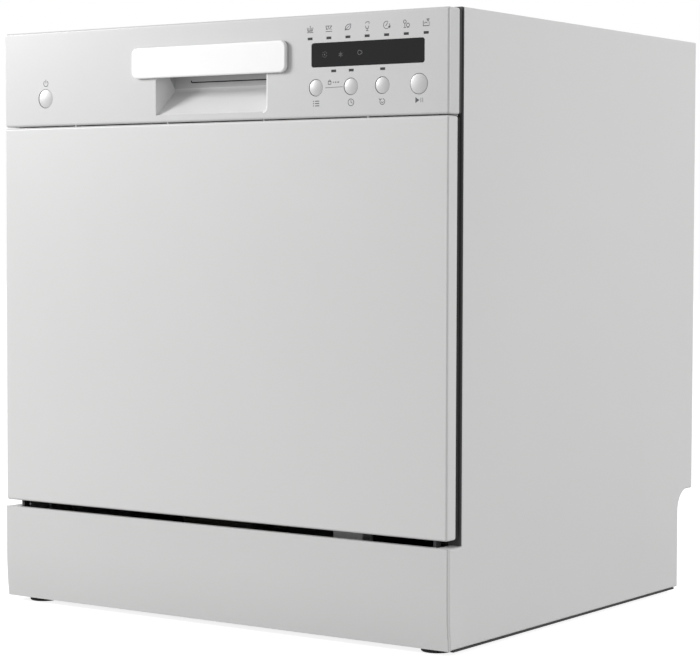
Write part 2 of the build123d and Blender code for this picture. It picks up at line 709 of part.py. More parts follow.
def indicator_lenses():
    """Small clear windows over the programme lamps."""
    with BuildPart() as lamps:
        with BuildSketch(across(0.1)):
            with Locations(*lamp_spots()):
                Rectangle(LED_W, LED_H)
        extrude(amount=-(CONTROL_WALL + 1.4))
    save(lamps.part, "indicator_lenses")


def control_board():
    """Circuit boards behind the fascia, with the display block and the buttons' switches."""
    with BuildPart() as board:
        with BuildSketch(across(BOARD_D)):
            with Locations((WINDOW_X, BOARD_Z)):
                RectangleRounded(BOARD_W, BOARD_H, 3.0)
            with Locations((POWER_X, BUTTON_Z)):
                RectangleRounded(SMALL_BOARD_W, SMALL_BOARD_H, 3.0)
        extrude(amount=-BOARD_T)
        block(WINDOW_LEFT + 4, WINDOW_RIGHT - 4, CONTROL_WALL + WINDOW_T + 0.4, BOARD_D,
              WINDOW_Z - WINDOW_H / 2 + 2, WINDOW_Z + WINDOW_H / 2 - 2)
        with BuildSketch(across(BOARD_D)):
            for x, r in button_spots():
                with Locations((x, BUTTON_Z)):
                    Rectangle(SWITCH_W, SWITCH_W)
        extrude(amount=BOARD_D - CONTROL_WALL - BUTTON_T - 1.9)
    save(board.part, "control_board")


def control_cover():
    """Moulded rear cover of the fascia, swelling round the grip and the latch."""
    half = DOOR_WIDTH / 2 - CONTROL_WALL - 1.0
    low = LINER_TOP + 1.5
    high = CONTROL_TOP - CONTROL_WALL - 1.0
    swell_top = HEIGHT - TOP_LIP - 3.0
    swell_low = low + 1.5
    swell_mid = (swell_low + swell_top) / 2
    swell_h = swell_top - swell_low
    with BuildPart() as cover:
        with BuildSketch(across(CONTROL_SIDE - COVER_T)):
            with Locations((0, (low + high) / 2)):
                RectangleRounded(2 * half, high - low, 4.0)
        extrude(amount=-COVER_T)
        with BuildSketch(across(CONTROL_SIDE - COVER_T)):
            with Locations((0, swell_mid)):
                RectangleRounded(2 * COVER_BULGE_HALF, swell_h, 6.0)
        extrude(amount=-(COVER_BULGE_D - CONTROL_SIDE + COVER_T), taper=4.0)
        with BuildSketch(across(CONTROL_SIDE - COVER_T)):
            with Locations((0, swell_mid)):
                RectangleRounded(2 * (COVER_BULGE_HALF - COVER_T), swell_h - 2 * COVER_T, 4.0)
        extrude(amount=-(COVER_BULGE_D - CONTROL_SIDE), taper=4.0, mode=Mode.SUBTRACT)
        block(-HOOK_SLOT, HOOK_SLOT, CONTROL_SIDE - 1, COVER_BULGE_D + 1, HOOK_Z - 9.0, HOOK_Z + 7.0,
              mode=Mode.SUBTRACT)
        grip_gap = CONTROL_WALL + 0.6
        block(GRIP_LEFT - grip_gap, GRIP_RIGHT + grip_gap, 0, GRIP_DEEP + grip_gap, low - 1.0,
              GRIP_BREAK_Z, mode=Mode.SUBTRACT)
    save(cover.part, "control_cover")


def door_handle():
    """Grip plate on a rocking lever: the plate swings out below its top pivot."""
    lever = HANDLE_LEVER
    with BuildPart() as grip:
        with BuildSketch(across(-HANDLE_PROUD)):
            with Locations(((HANDLE_LEFT + HANDLE_RIGHT) / 2, (HANDLE_BOTTOM + HANDLE_TOP) / 2)):
                RectangleRounded(HANDLE_RIGHT - HANDLE_LEFT, HANDLE_TOP - HANDLE_BOTTOM, HANDLE_R)
        extrude(amount=-HANDLE_T)
        fillet(faces().sort_by(Axis.Y)[0].edges(), radius=HANDLE_EDGE_R)
        block(-lever, lever, -HANDLE_PROUD + HANDLE_T, 20.0, HANDLE_BOTTOM + 3.0,
              HANDLE_BOTTOM + 5.5)
        block(-lever, lever, -HANDLE_PROUD + HANDLE_T, 2.6, HANDLE_BOTTOM + 5.5,
              HANDLE_PIVOT_Z)
        with BuildSketch(sideways(-lever)):
            with Locations((at(HANDLE_PIVOT_D), HANDLE_PIVOT_Z)):
                Circle(HANDLE_EYE_R)
        extrude(amount=2 * lever)
        with BuildSketch(sideways(-lever - 1)):
            with Locations((at(HANDLE_PIVOT_D), HANDLE_PIVOT_Z)):
                Circle(HANDLE_PIN_R + RUN)
        extrude(amount=2 * lever + 2, mode=Mode.SUBTRACT)
    save(grip.part, "door_handle")


def handle_pin():
    """Steel pin the grip plate swings on, held in the fascia's scoop walls."""
    with BuildPart() as pin:
        with BuildSketch(sideways(GRIP_LEFT)):
            with Locations((at(HANDLE_PIVOT_D), HANDLE_PIVOT_Z)):
                Circle(HANDLE_PIN_R)
        extrude(amount=GRIP_RIGHT - GRIP_LEFT)
    save(pin.part, "handle_pin")


def latch_housing():
    """Open-sided box behind the grip that carries the latch hook."""
    with BuildPart() as box:
        block(-HOUSING_HALF, HOUSING_HALF, HOOK_D - 5.8, COVER_BULGE_D - COVER_T - 2.5,
              HOOK_Z - 8.0, HOOK_Z + 4.5)
        block(-HOOK_T / 2 - 1.0, HOOK_T / 2 + 1.0, HOOK_D - 9.0, COVER_BULGE_D, HOOK_Z - 10.0,
              HOOK_Z + 11.0, mode=Mode.SUBTRACT)
        with BuildSketch(sideways(-HOUSING_HALF)):
            with Locations((at(HOOK_D), HOOK_Z)):
                Circle(HOOK_PIN_R)
        extrude(amount=2 * HOUSING_HALF)
    save(box.part, "latch_housing")


def latch_hook():
    """Hook that reaches back over the strike; the grip lifts it."""
    tip = STRIKE_D + 6.0
    with BuildPart() as hook:
        with BuildSketch(sideways(-HOOK_T / 2)):
            with BuildLine():
                Polyline(
                    (at(HOOK_D), HOOK_Z - 5.5), (at(tip - 3.0), HOOK_Z - 3.0),
                    (at(tip), HOOK_Z - 1.0), (at(tip), HOOK_Z + 3.2),
                    (at(tip - 3.0), HOOK_Z + 3.2), (at(tip - 5.0), HOOK_Z + 1.0),
                    (at(HOOK_D), HOOK_Z + 5.5), close=True,
                )
            make_face()
            with Locations((at(HOOK_D), HOOK_Z)):
                Circle(5.5)
                Circle(HOOK_PIN_R + RUN, mode=Mode.SUBTRACT)
        extrude(amount=HOOK_T)
    save(hook.part, "latch_hook")


def strike_plate():
    """Catch for the hook, bolted to the tub's top front edge."""
    with BuildPart() as strike:
        half = STRIKE_HALF
        seat = TUB_TOP + TUB_T
        block(-half, half, STRIKE_D - 4.0, STRIKE_D + 24.0, seat, seat + STRIKE_T)
        block(-half, half, STRIKE_D + 12.0, STRIKE_D + 12.0 + STRIKE_T, seat + STRIKE_T, HOOK_Z + 12.0)
        block(-half, half, STRIKE_D, STRIKE_D + 14.0, HOOK_Z + 9.0, HOOK_Z + 12.0)
        block(-half, half, STRIKE_D, STRIKE_D + STRIKE_T, HOOK_Z + 4.2, HOOK_Z + 9.0)
    save(strike.part, "strike_plate")


def hinge_arms():
    """Arms screwed to the door's sides, turning on the brackets' pins, with spring levers."""
    tip = (HINGE_D - LEVER_BACK, HINGE_Z - LEVER_L)
    back = DOOR_SIDE - 2.0
    with BuildPart() as arms:
        for x0 in (-HINGE_ARM_X - HINGE_ARM_T, HINGE_ARM_X):
            with BuildSketch(sideways(x0)):
                with BuildLine():
                    Polyline(
                        (at(HINGE_D - HINGE_EYE_R), HINGE_Z), (at(4.0), HINGE_Z + 14.0),
                        (at(4.0), HINGE_ARM_TOP), (at(back - 2.5), HINGE_ARM_TOP),
                        (at(back), HINGE_ARM_TOP - 12.0), (at(back), HINGE_Z + 8.0),
                        (at(HINGE_D + HINGE_EYE_R - 1.5), HINGE_Z),
                        (at(tip[0] + LEVER_EYE_R), tip[1]), (at(tip[0] - LEVER_EYE_R), tip[1]),
                        close=True,
                    )
                make_face()
                with Locations((at(tip[0]), tip[1])):
                    Circle(LEVER_EYE_R)
                with Locations((at(HINGE_D), HINGE_Z)):
                    Circle(HINGE_PIN_R + RUN, mode=Mode.SUBTRACT)
                with Locations((at(tip[0]), tip[1])):
                    Circle(SPRING_HOOK_R + LAP, mode=Mode.SUBTRACT)
            extrude(amount=HINGE_ARM_T)
    save(arms.part, "hinge_arms")


def hinge_brackets():
    """Brackets on the base with the hinge pins; they reach forward under the tub's edge."""
    inner = HINGE_ARM_X - BRACKET_GAP - BRACKET_T
    pin_l = BRACKET_T + BRACKET_GAP + HINGE_ARM_T + 0.8
    base_z = TRAY_BOTTOM + TRAY_WALL
    front = TUB_FRONT + 18.0
    back = front + 46.0
    with BuildPart() as brackets:
        for side in (-1, 1):
            with BuildSketch(sideways(side * (inner + BRACKET_T / 2) - BRACKET_T / 2)):
                with BuildLine():
                    Polyline(
                        (at(HINGE_D), HINGE_Z - HINGE_EYE_R), (at(front), HINGE_Z - HINGE_EYE_R),
                        (at(front), base_z + 2.0), (at(back), base_z + 2.0), (at(back), 62.0),
                        (at(back - 24.0), HINGE_Z + 0.5), (at(HINGE_D), HINGE_Z + 0.5), close=True,
                    )
                make_face()
                with Locations((at(HINGE_D), HINGE_Z)):
                    Circle(HINGE_EYE_R - 0.5)
            extrude(amount=BRACKET_T)
            with BuildSketch(sideways(side * (inner + pin_l / 2) - pin_l / 2)):
                with Locations((at(HINGE_D), HINGE_Z)):
                    Circle(HINGE_PIN_R)
            extrude(amount=pin_l)
            foot = side * (inner - 7.0)
            block(foot - 7.0, foot + 7.0, front + 6.0, back - 4.0, base_z + LAP,
                  base_z + LAP + BRACKET_T)
    save(brackets.part, "hinge_brackets")


def door_springs():
    """Balance springs in their sleeves, hooked to the hinge levers."""
    tip = HINGE_Z - LEVER_L
    foot = PANEL_BOTTOM + PLINTH_SHEET + WELD_GAP
    with BuildPart() as springs:
        for side in (-1, 1):
            x = side * (HINGE_ARM_X + HINGE_ARM_T / 2)
            with BuildSketch(Plane.XY.offset(SPRING_FOOT_Z)):
                with Locations((x, at(HINGE_D - LEVER_BACK))):
                    Circle(SPRING_R)
            extrude(amount=tip - 12.0 - SPRING_FOOT_Z)
            with BuildSketch(Plane.XY.offset(foot)):
                with Locations((x, at(HINGE_D - LEVER_BACK))):
                    Circle(SPRING_HOOK_R)
            extrude(amount=tip - foot - 3.2)
    save(springs.part, "door_springs")


def door_liner():
    """Inner door: a flat rim for the gasket round a deep drawn field."""
    rim_d = DOOR_SIDE + LINER_GAP
    mid_z = (BULGE_BOTTOM + BULGE_TOP) / 2
    high = BULGE_TOP - BULGE_BOTTOM
    bead_l = 2 * (BULGE_HALF - LINER_BEAD_SIDE)
    with BuildPart() as liner:
        with BuildSketch(across(rim_d)):
            with Locations((0, (LINER_BOTTOM + LINER_TOP) / 2)):
                RectangleRounded(2 * LINER_HALF, LINER_TOP - LINER_BOTTOM, 5.0)
        extrude(amount=-LINER_T)
        with BuildSketch(across(rim_d)):
            with Locations((0, mid_z)):
                RectangleRounded(2 * BULGE_HALF, high, BULGE_R)
        extrude(amount=-(BULGE_D - rim_d), taper=BULGE_TAPER)
        with BuildSketch(across(BULGE_D)):
            with Locations(*bead_spots()):
                SlotOverall(bead_l, LINER_BEAD_W)
        extrude(amount=-LINER_BEAD_H, taper=30.0)
        with BuildSketch(across(rim_d)):
            with Locations((0, mid_z)):
                RectangleRounded(2 * (BULGE_HALF - LINER_T), high - 2 * LINER_T, BULGE_R - LINER_T)
        extrude(amount=-(BULGE_D - rim_d - LINER_T), taper=BULGE_TAPER, mode=Mode.SUBTRACT)
        with BuildSketch(across(BULGE_D - LINER_T - 0.1)):
            with Locations(*bead_spots()):
                SlotOverall(bead_l - 2 * LINER_T, LINER_BEAD_W - 2 * LINER_T)
        extrude(amount=-LINER_BEAD_H, taper=30.0, mode=Mode.SUBTRACT)
        with BuildSketch(across(BULGE_D + 1.0)):
            with Locations((DISP_X, DISP_Z)):
                RectangleRounded(DISP_W - 6.0, DISP_H - 6.0, 5.0)
        extrude(amount=8.0, mode=Mode.SUBTRACT)
        hinge_slot()
    save(liner.part, "door_liner")


def bead_spots():
    """Middles of the pressed beads above and below the dispenser."""
    above = (DISP_Z + DISP_H / 2 + BULGE_TOP) / 2
    below = DISP_Z - DISP_H / 2
    return [(0, above), (0, below - 46.0), (0, below - 92.0)]


def cup_centre():
    return (DISP_X - DISP_W / 2 + DISP_EDGE + CUP_W / 2, DISP_Z)


def rinse_centre():
    return (DISP_X + DISP_W / 2 - DISP_EDGE - RINSE_R, DISP_Z)


def dispenser_body():
    """Detergent dispenser: bezel on the liner, cup and rinse-aid tank behind it."""
    with BuildPart() as body:
        with BuildSketch(across(BULGE_D + 0.1)):
            with Locations((DISP_X, DISP_Z)):
                RectangleRounded(DISP_W, DISP_H, 8.0)
        extrude(amount=-(DISP_PROUD - LID_T - 0.6))
        with BuildSketch(across(BULGE_D + 0.1)):
            with Locations((DISP_X, DISP_Z)):
                RectangleRounded(DISP_W - 8.0, DISP_H - 8.0, 5.0)
        extrude(amount=DISP_BODY)
        face = BULGE_D + DISP_PROUD
        with BuildSketch(across(face)):
            with Locations(cup_centre()):
                RectangleRounded(CUP_W - 2 * CUP_LIP, CUP_H - 2 * CUP_LIP, 7.0)
        extrude(amount=CUP_DEEP + 5.0, mode=Mode.SUBTRACT)
        with BuildSketch(across(face)):
            with Locations(rinse_centre()):
                Circle(RINSE_R - RINSE_LIP)
        extrude(amount=12.0, mode=Mode.SUBTRACT)
    save(body.part, "dispenser_body")


def detergent_lid():
    """Sliding lid over the detergent cup, with a thumb rib."""
    back = BULGE_D + DISP_PROUD - 0.3 - LID_T + 0.2
    with BuildPart() as lid:
        with BuildSketch(across(back)):
            with Locations(cup_centre()):
                RectangleRounded(CUP_W, CUP_H, 5.0)
        extrude(amount=-LID_T)
        with BuildSketch(across(back + LID_T)):
            with Locations(cup_centre()):
                RectangleRounded(6.0, CUP_H - 14.0, 2.0)
        extrude(amount=-2.0)
    save(lid.part, "detergent_lid")


def rinse_cap():
    """Bayonet cap of the rinse-aid tank, with a finger bar."""
    back = BULGE_D + DISP_PROUD - LID_T + 0.1
    with BuildPart() as cap:
        with BuildSketch(across(back)):
            with Locations(rinse_centre()):
                Circle(RINSE_R)
        extrude(amount=-LID_T)
        with BuildSketch(across(back)):
            with Locations(rinse_centre()):
                Circle(RINSE_R - RINSE_LIP - SEAM)
        extrude(amount=8.0)
        with BuildSketch(across(back + LID_T)):
            with Locations(rinse_centre()):
                SlotOverall(2 * RINSE_R - 8.0, 5.0)
        extrude(amount=-2.4)
    save(cap.part, "rinse_cap")


# ================================= tub ==============================================
def tub_wrapper():
    """Tub sides and ceiling in one folded sheet, with a front rim for the gasket."""
    low = TUB_FLOOR - TUB_SKIRT
    with BuildPart() as wrap:
        block(-TUB_HALF - TUB_T, TUB_HALF + TUB_T, TUB_FRONT, TUB_BACK, low, TUB_TOP + TUB_T)
        fillet(edges().filter_by(Axis.Y).group_by(Axis.Z)[-1], radius=TUB_R)
        block(-TUB_HALF - TUB_FLANGE, TUB_HALF + TUB_FLANGE, TUB_FRONT, TUB_FRONT + TUB_T,
              low, TUB_TOP + TUB_FLANGE)
        with BuildSketch(across(TUB_FRONT - 1.0)):
            with BuildLine():
                Polyline((-TUB_HALF, low - 1.0), (-TUB_HALF, TUB_TOP), (TUB_HALF, TUB_TOP),
                         (TUB_HALF, low - 1.0), close=True)
            make_face()
            fillet([v for v in vertices() if max(v.Y, v.Z) > TUB_TOP - 1.0], radius=TUB_R - TUB_T)
        extrude(amount=-(TUB_BACK - TUB_FRONT + 2.0), mode=Mode.SUBTRACT)
        for side in (-1, 1):
            middle = side * (HINGE_ARM_X + HINGE_ARM_T / 2)
            reach = HINGE_ARM_T / 2 + BRACKET_GAP
            block(middle - reach, middle + reach, TUB_FRONT - 1.0, TUB_FRONT + TUB_T + 1.0,
                  low - 1.0, HINGE_Z + HINGE_EYE_R, mode=Mode.SUBTRACT)
    save(wrap.part, "tub_wrapper")


def tub_back():
    """Back wall of the tub, pressed with two upright beads."""
    low = TUB_FLOOR - TUB_SKIRT
    with BuildPart() as wall:
        with BuildSketch(across(TUB_BACK + LAP)):
            with Locations((0, (low + TUB_TOP + TUB_T) / 2)):
                RectangleRounded(2 * (TUB_HALF + TUB_T), TUB_TOP + TUB_T - low, 12.0)
        extrude(amount=-TUB_T)
        with BuildSketch(across(TUB_BACK + LAP + TUB_T)):
            with GridLocations(BEAD_PITCH, 1.0, 2, 1):
                with Locations((0, (TUB_FLOOR + TUB_TOP) / 2)):
                    SlotOverall(TUB_TOP - TUB_FLOOR - 2 * BEAD_END, BEAD_W, rotation=90)
        extrude(amount=-BEAD_H, taper=20.0)
    save(wall.part, "tub_back")


def tub_floor():
    """Moulded tub floor: wheel ledges, a shallow pool and the sump recess."""
    low = FLOOR_UNDER
    half = TUB_HALF - SEAM
    with BuildPart() as floor:
        block(-half, half, TUB_FRONT + TUB_T + SEAM, TUB_BACK - SEAM, low, LEDGE_Z)
        with BuildSketch(Plane.XY.offset(POOL_Z)):
            with Locations((0, at((LEDGE_FRONT + TUB_BACK) / 2 - 1.0))):
                RectangleRounded(2 * LEDGE_X, TUB_BACK - LEDGE_FRONT - 22.0, 18.0)
        extrude(amount=LEDGE_Z, mode=Mode.SUBTRACT)
        block(-half - 1, half + 1, TUB_FRONT, LEDGE_FRONT, POOL_Z - 3.0, LEDGE_Z + 1.0,
              mode=Mode.SUBTRACT)
        block(-LEDGE_X, LEDGE_X, LEDGE_FRONT - 1.0, LEDGE_FRONT + 12.0, POOL_Z, LEDGE_Z + 1.0,
              mode=Mode.SUBTRACT)
        with BuildSketch(Plane.XY.offset(POOL_Z)):
            with Locations((0, at(ARM_D))):
                Circle(SUMP_R)
        extrude(amount=-SUMP_DROP + 2.0, taper=20.0, mode=Mode.SUBTRACT)
        with Locations((0, at(ARM_D), POOL_Z)):
            Cylinder(HUB_R + 6.0, 60.0, mode=Mode.SUBTRACT)
        with Locations((FILTER_CUP_X, at(ARM_D), POOL_Z)):
            Cylinder(FILTER_CUP_R + 2.0, 60.0, mode=Mode.SUBTRACT)
        with Locations((SALT_X, at(SALT_D), POOL_Z)):
            Cylinder(SALT_R - SALT_NECK, 60.0, mode=Mode.SUBTRACT)
        block(-14.0, 14.0, TUB_BACK - 20.0, TUB_BACK - 1.2, POOL_Z - 1.2, LEDGE_Z + 1.0,
              mode=Mode.SUBTRACT)
    save(floor.part, "tub_floor")


def door_seal():
    """Gasket round the tub's mouth, pressed by the door's rim."""
    front = DOOR_SIDE + LINER_GAP + LINER_T + SEAL_GAP
    low = TUB_FLOOR - SEAL_DROP
    high = TUB_TOP + SEAL_W + 1.0
    with BuildPart() as ring:
        with BuildSketch(across(TUB_FRONT - SEAL_GAP / 2)):
            with Locations((0, (low + high) / 2)):
                RectangleRounded(2 * (TUB_HALF + SEAL_W + 1.0), high - low, 14.0)
                RectangleRounded(2 * (TUB_HALF + 1.0), high - low - 2 * SEAL_W + 1.2, 10.0,
                                 mode=Mode.SUBTRACT)
        extrude(amount=TUB_FRONT - SEAL_GAP / 2 - front)
    save(ring.part, "door_seal")


def sill_bracket():
    """Tab under the tub's front edge, seen through the gap below the door."""
    seat = FLOOR_UNDER - WELD_GAP
    low = PLINTH_TOP - 16.0
    lip = TUB_FRONT + 4.0
    web = lip + 16.0
    end = web + 14.0
    with BuildPart() as tab:
        with BuildSketch(sideways(SILL_X)):
            with BuildLine():
                Polyline((at(lip), low), (at(lip), low + 18.3), (at(lip + SILL_T), low + 18.3),
                         (at(lip + SILL_T), low + SILL_T), (at(web), low + SILL_T), (at(web), seat),
                         (at(end), seat), (at(end), seat - SILL_T), (at(web + SILL_T), seat - SILL_T),
                         (at(web + SILL_T), low), close=True)
            make_face()
        extrude(amount=SILL_W)
    save(tab.part, "sill_bracket")


def sump():
    """Sump bowl below the floor, with the hub the lower spray arm turns on."""
    top = FLOOR_UNDER - LAP
    low = SUMP_LOW
    rim = SUMP_R - 4.0
    foot = rim - 14.0
    wall = SUMP_WALL
    collar = HUB_R + 4.0
    inner_end = foot + 1.0
    with BuildPart() as bowl:
        with BuildSketch(Plane.XZ.offset(-at(ARM_D))):
            with BuildLine():
                Polyline((0, low), (foot, low), (rim - 8.0, top - 12.0), (rim, top - 5.0),
                         (rim, top), (rim - wall, top), (rim - wall, top - 5.0 + wall / 2),
                         (rim - 8.0 - wall, top - 12.0 + wall / 2), (foot - wall / 2, low + wall),
                         (0, low + wall), close=True)
            make_face()
        revolve(axis=Axis((0, at(ARM_D), 0), (0, 0, 1)))
        column = top + 20.0
        with Locations((0, at(ARM_D), (low + column) / 2)):
            Cylinder(collar, column - low)
        with Locations((0, at(ARM_D), (column + LOWER_SPRAY_Z + 14.0) / 2)):
            Cylinder(HUB_R, LOWER_SPRAY_Z + 14.0 - column)
        with Locations(Location((-(STUB_X + inner_end) / 2, at(ARM_D), STUB_Z), (0, 90, 0))):
            Cylinder(STUB_R, STUB_X - inner_end)
        with Locations(Location((-(STUB_X + inner_end) / 2, at(ARM_D), STUB_Z), (0, 90, 0))):
            Cylinder(STUB_R - wall, STUB_X - inner_end + 2 * wall, mode=Mode.SUBTRACT)
        with Locations(Location(((DRAIN_STUB_END + inner_end) / 2, at(ARM_D), DRAIN_STUB_Z), (0, 90, 0))):
            Cylinder(DRAIN_STUB_R, DRAIN_STUB_END - inner_end)
        with Locations(Location(((DRAIN_STUB_END + inner_end) / 2, at(ARM_D), DRAIN_STUB_Z), (0, 90, 0))):
            Cylinder(DRAIN_STUB_R - wall / 2, DRAIN_STUB_END - inner_end + 2 * wall, mode=Mode.SUBTRACT)
    save(bowl.part, "sump")


def filter_plate():
    """Flat sieve over the sump with a round mouth for the filter cup."""
    with BuildPart() as plate:
        with BuildSketch(Plane.XY.offset(POOL_Z - SUMP_DROP + 2.0)):
            with Locations((0, at(ARM_D))):
                Circle(SUMP_R - 5.0)
                Circle(HUB_R + 4.0 + SEAM, mode=Mode.SUBTRACT)
            with Locations((FILTER_CUP_X, at(ARM_D))):
                Circle(FILTER_CUP_R + SEAM, mode=Mode.SUBTRACT)
        extrude(amount=1.6)
    save(plate.part, "filter_plate")


def filter_cup():
    """Twist-out filter: a cup with a cross grip in its mouth."""
    low = POOL_Z - FILTER_CUP_LOW
    high = POOL_Z + FILTER_CUP_HIGH
    with BuildPart() as cup:
        with Locations((FILTER_CUP_X, at(ARM_D), (low + high) / 2)):
            Cylinder(FILTER_CUP_R, high - low)
        offset(amount=-1.6, openings=faces().sort_by(Axis.Z)[-1])
        block(FILTER_CUP_X - 2.0, FILTER_CUP_X + 2.0, ARM_D - FILTER_CUP_R + 0.8,
              ARM_D + FILTER_CUP_R - 0.8, low + 8.0, high)
    save(cup.part, "filter_cup")


def salt_cap():
    """Screw cap of the salt tank with a finger bar."""
    with BuildPart() as cap:
        with Locations((SALT_X, at(SALT_D), POOL_Z + LAP + 3.5)):
            Cylinder(SALT_R, 7.0)
        fillet(faces().sort_by(Axis.Z)[-1].edges(), radius=1.6)
        block(SALT_X - SALT_R + 5.0, SALT_X + SALT_R - 5.0, SALT_D - 3.0, SALT_D + 3.0,
              POOL_Z + 7.0, POOL_Z + 11.0)
        with Locations((SALT_X, at(SALT_D), POOL_Z - 3.0)):
            Cylinder(SALT_R - SALT_NECK - SEAM, 8.0)
    save(cap.part, "salt_cap")


def softener():
    """Water softener tank below the salt cap."""
    with BuildPart() as tank:
        block(SALT_X - 62.0, SALT_X + 44.0, SOFTENER_FRONT, SOFTENER_BACK, SOFTENER_LOW, SOFTENER_TOP)
        fillet(edges(), radius=8.0)
        neck_low = SOFTENER_TOP - 2.0
        neck_top = FLOOR_UNDER - WELD_GAP
        with Locations((SALT_X, at(SALT_D), (neck_low + neck_top) / 2)):
            Cylinder(SALT_R - SALT_NECK - SEAM, neck_top - neck_low)
    save(tank.part, "softener")


def wash_pump():
    """Circulation pump: motor drum with a volute joined to the sump."""
    volute_x = -STUB_X - PIPE_L
    motor_x = volute_x - VOLUTE_L + 3.0
    motor_end = motor_x - PUMP_MOTOR_L
    with BuildPart() as pump:
        with Locations(Location(((motor_x + motor_end) / 2, at(ARM_D), STUB_Z), (0, 90, 0))):
            Cylinder(PUMP_MOTOR_R, PUMP_MOTOR_L)
        fillet(edges().filter_by(GeomType.CIRCLE), radius=4.0)
        with Locations(Location((volute_x - VOLUTE_L / 2, at(ARM_D), STUB_Z), (0, 90, 0))):
            Cylinder(PUMP_R, VOLUTE_L)
        with Locations(Location((volute_x + PIPE_L / 2, at(ARM_D), STUB_Z), (0, 90, 0))):
            Cylinder(STUB_R, PIPE_L - 2 * WELD_GAP)
        block(motor_end + 9.0, motor_x - 9.0, ARM_D - 20.0, ARM_D + 20.0, RIB_TOP + WELD_GAP,
              STUB_Z - 14.0)
    save(pump.part, "wash_pump")


def drain_pump():
    """Drain pump on the sump's side."""
    middle = DRAIN_PUMP_X + DRAIN_PUMP_L / 2
    motor = DRAIN_PUMP_X + DRAIN_PUMP_L - 1.0 + DRAIN_MOTOR_L / 2
    with BuildPart() as pump:
        with Locations(Location((middle, at(ARM_D), DRAIN_PUMP_Z), (0, 90, 0))):
            Cylinder(DRAIN_PUMP_R, DRAIN_PUMP_L)
        fillet(edges().filter_by(GeomType.CIRCLE), radius=3.0)
        with Locations(Location((motor, at(ARM_D), DRAIN_PUMP_Z), (0, 90, 0))):
            Cylinder(DRAIN_MOTOR_R, DRAIN_MOTOR_L)
        block(middle - 13.0, middle + 11.0, ARM_D - 12.0, ARM_D + 12.0, RIB_TOP + WELD_GAP,
              DRAIN_PUMP_Z - 14.0)
    save(pump.part, "drain_pump")


def inlet_valve():
    """Inlet valve with its hose spigot in the back recess."""
    face = CONNECT_D
    with BuildPart() as valve:
        with BuildSketch(across(PORT_END)):
            with Locations((INLET_X, PORT_Z)):
                Circle(INLET_R)
        extrude(amount=PORT_END - face + VALVE_REACH - 4.0)
        with BuildSketch(across(face + 2.0)):
            with Locations((INLET_X, PORT_Z)):
                Circle(INLET_BODY_R)
        extrude(amount=10.0)
        with BuildSketch(across(PORT_END + 1.0)):
            with Locations((INLET_X, PORT_Z)):
                Circle(INLET_R - 4.0)
        extrude(amount=26.0, mode=Mode.SUBTRACT)
        block(INLET_X - VALVE_HALF, INLET_X + VALVE_HALF, face - VALVE_REACH, face - 12.0,
              PORT_Z - 12.0, PORT_Z + 34.0)
    save(valve.part, "inlet_valve")


def drain_outlet():
    """Spigot for the drain hose, with a tapered tip."""
    face = CONNECT_D
    with BuildPart() as spigot:
        with BuildSketch(sideways(DRAIN_X)):
            with BuildLine():
                Polyline(
                    (at(face - 14.0), PORT_Z), (at(face - 14.0), PORT_Z + DRAIN_BODY_R),
                    (at(face + 3.0), PORT_Z + DRAIN_BODY_R), (at(face + 3.0), PORT_Z + DRAIN_R),
                    (at(PORT_END - 2.0), PORT_Z + DRAIN_R),
                    (at(PORT_END), PORT_Z + DRAIN_R - 1.0), (at(PORT_END), PORT_Z + DRAIN_BORE_R),
                    (at(face), PORT_Z + DRAIN_BORE_R), (at(face), PORT_Z), close=True,
                )
            make_face()
        revolve(axis=Axis((DRAIN_X, 0, PORT_Z), (0, 1, 0)))
    save(spigot.part, "drain_outlet")


def cord_gland():
    """Clamp bushing where the mains lead would enter."""
    face = CONNECT_D
    with BuildPart() as gland:
        with BuildSketch(across(face + 9.0)):
            with Locations((GLAND_X, PORT_Z)):
                Circle(GLAND_R + 4.0)
        extrude(amount=8.8)
        with BuildSketch(across(face + 9.0)):
            with Locations((GLAND_X, PORT_Z)):
                Circle(GLAND_R)
        extrude(amount=26.0)
        with BuildSketch(across(face + 9.5)):
            with Locations((GLAND_X, PORT_Z)):
                Circle(GLAND_BORE_R)
        extrude(amount=14.0, mode=Mode.SUBTRACT)
        fillet(faces().sort_by(Axis.Y)[-1].edges(), radius=1.5)
    save(gland.part, "cord_gland")


def feed_pipe():
    """Riser up the tub's back wall to the upper spray arm's dock."""
    pipe_d = TUB_BACK - 9.0
    with BuildPart() as pipe:
        with BuildSketch(Plane.XY.offset(POOL_Z - 1.0)):
            with Locations((0, at(pipe_d))):
                SlotOverall(26.0, 15.0)
        extrude(amount=DOCK_Z + 10.0 - POOL_Z + 1.0)
        with BuildSketch(across(pipe_d)):
            with Locations((0, DOCK_Z)):
                Circle(DUCT_R)
        extrude(amount=pipe_d - RACK_BACK - 5.4)
        with BuildSketch(across(RACK_BACK + 5.0)):
            with Locations((0, DOCK_Z)):
                Circle(DUCT_R - 3.0)
        extrude(amount=-10.0, mode=Mode.SUBTRACT)
    save(pipe.part, "feed_pipe")


# ================================= racks ============================================
def spread(first, last, count):
    return [first + (last - first) * i / (count - 1) for i in range(count)]


def wires_along_x(spots, x0, x1, radius):
    """Parallel wires; spots are (depth, z)."""
    with BuildSketch(sideways(x0)) as ends:
        with Locations(*[(at(d), z) for d, z in spots]):
            Circle(radius)
    extrude(ends.sketch, amount=x1 - x0)


def wires_along_y(spots, d0, d1, radius):
    """Parallel wires; spots are (x, z)."""
    with BuildSketch(across(d0)) as ends:
        with Locations(*spots):
            Circle(radius)
    extrude(ends.sketch, amount=-(d1 - d0))


def wires_up(spots, z0, z1, radius):
    """Upright wires; spots are (x, depth)."""
    with BuildSketch(Plane.XY.offset(z0)) as ends:
        with Locations(*[(x, at(d)) for x, d in spots]):
            Circle(radius)
    extrude(ends.sketch, amount=z1 - z0)


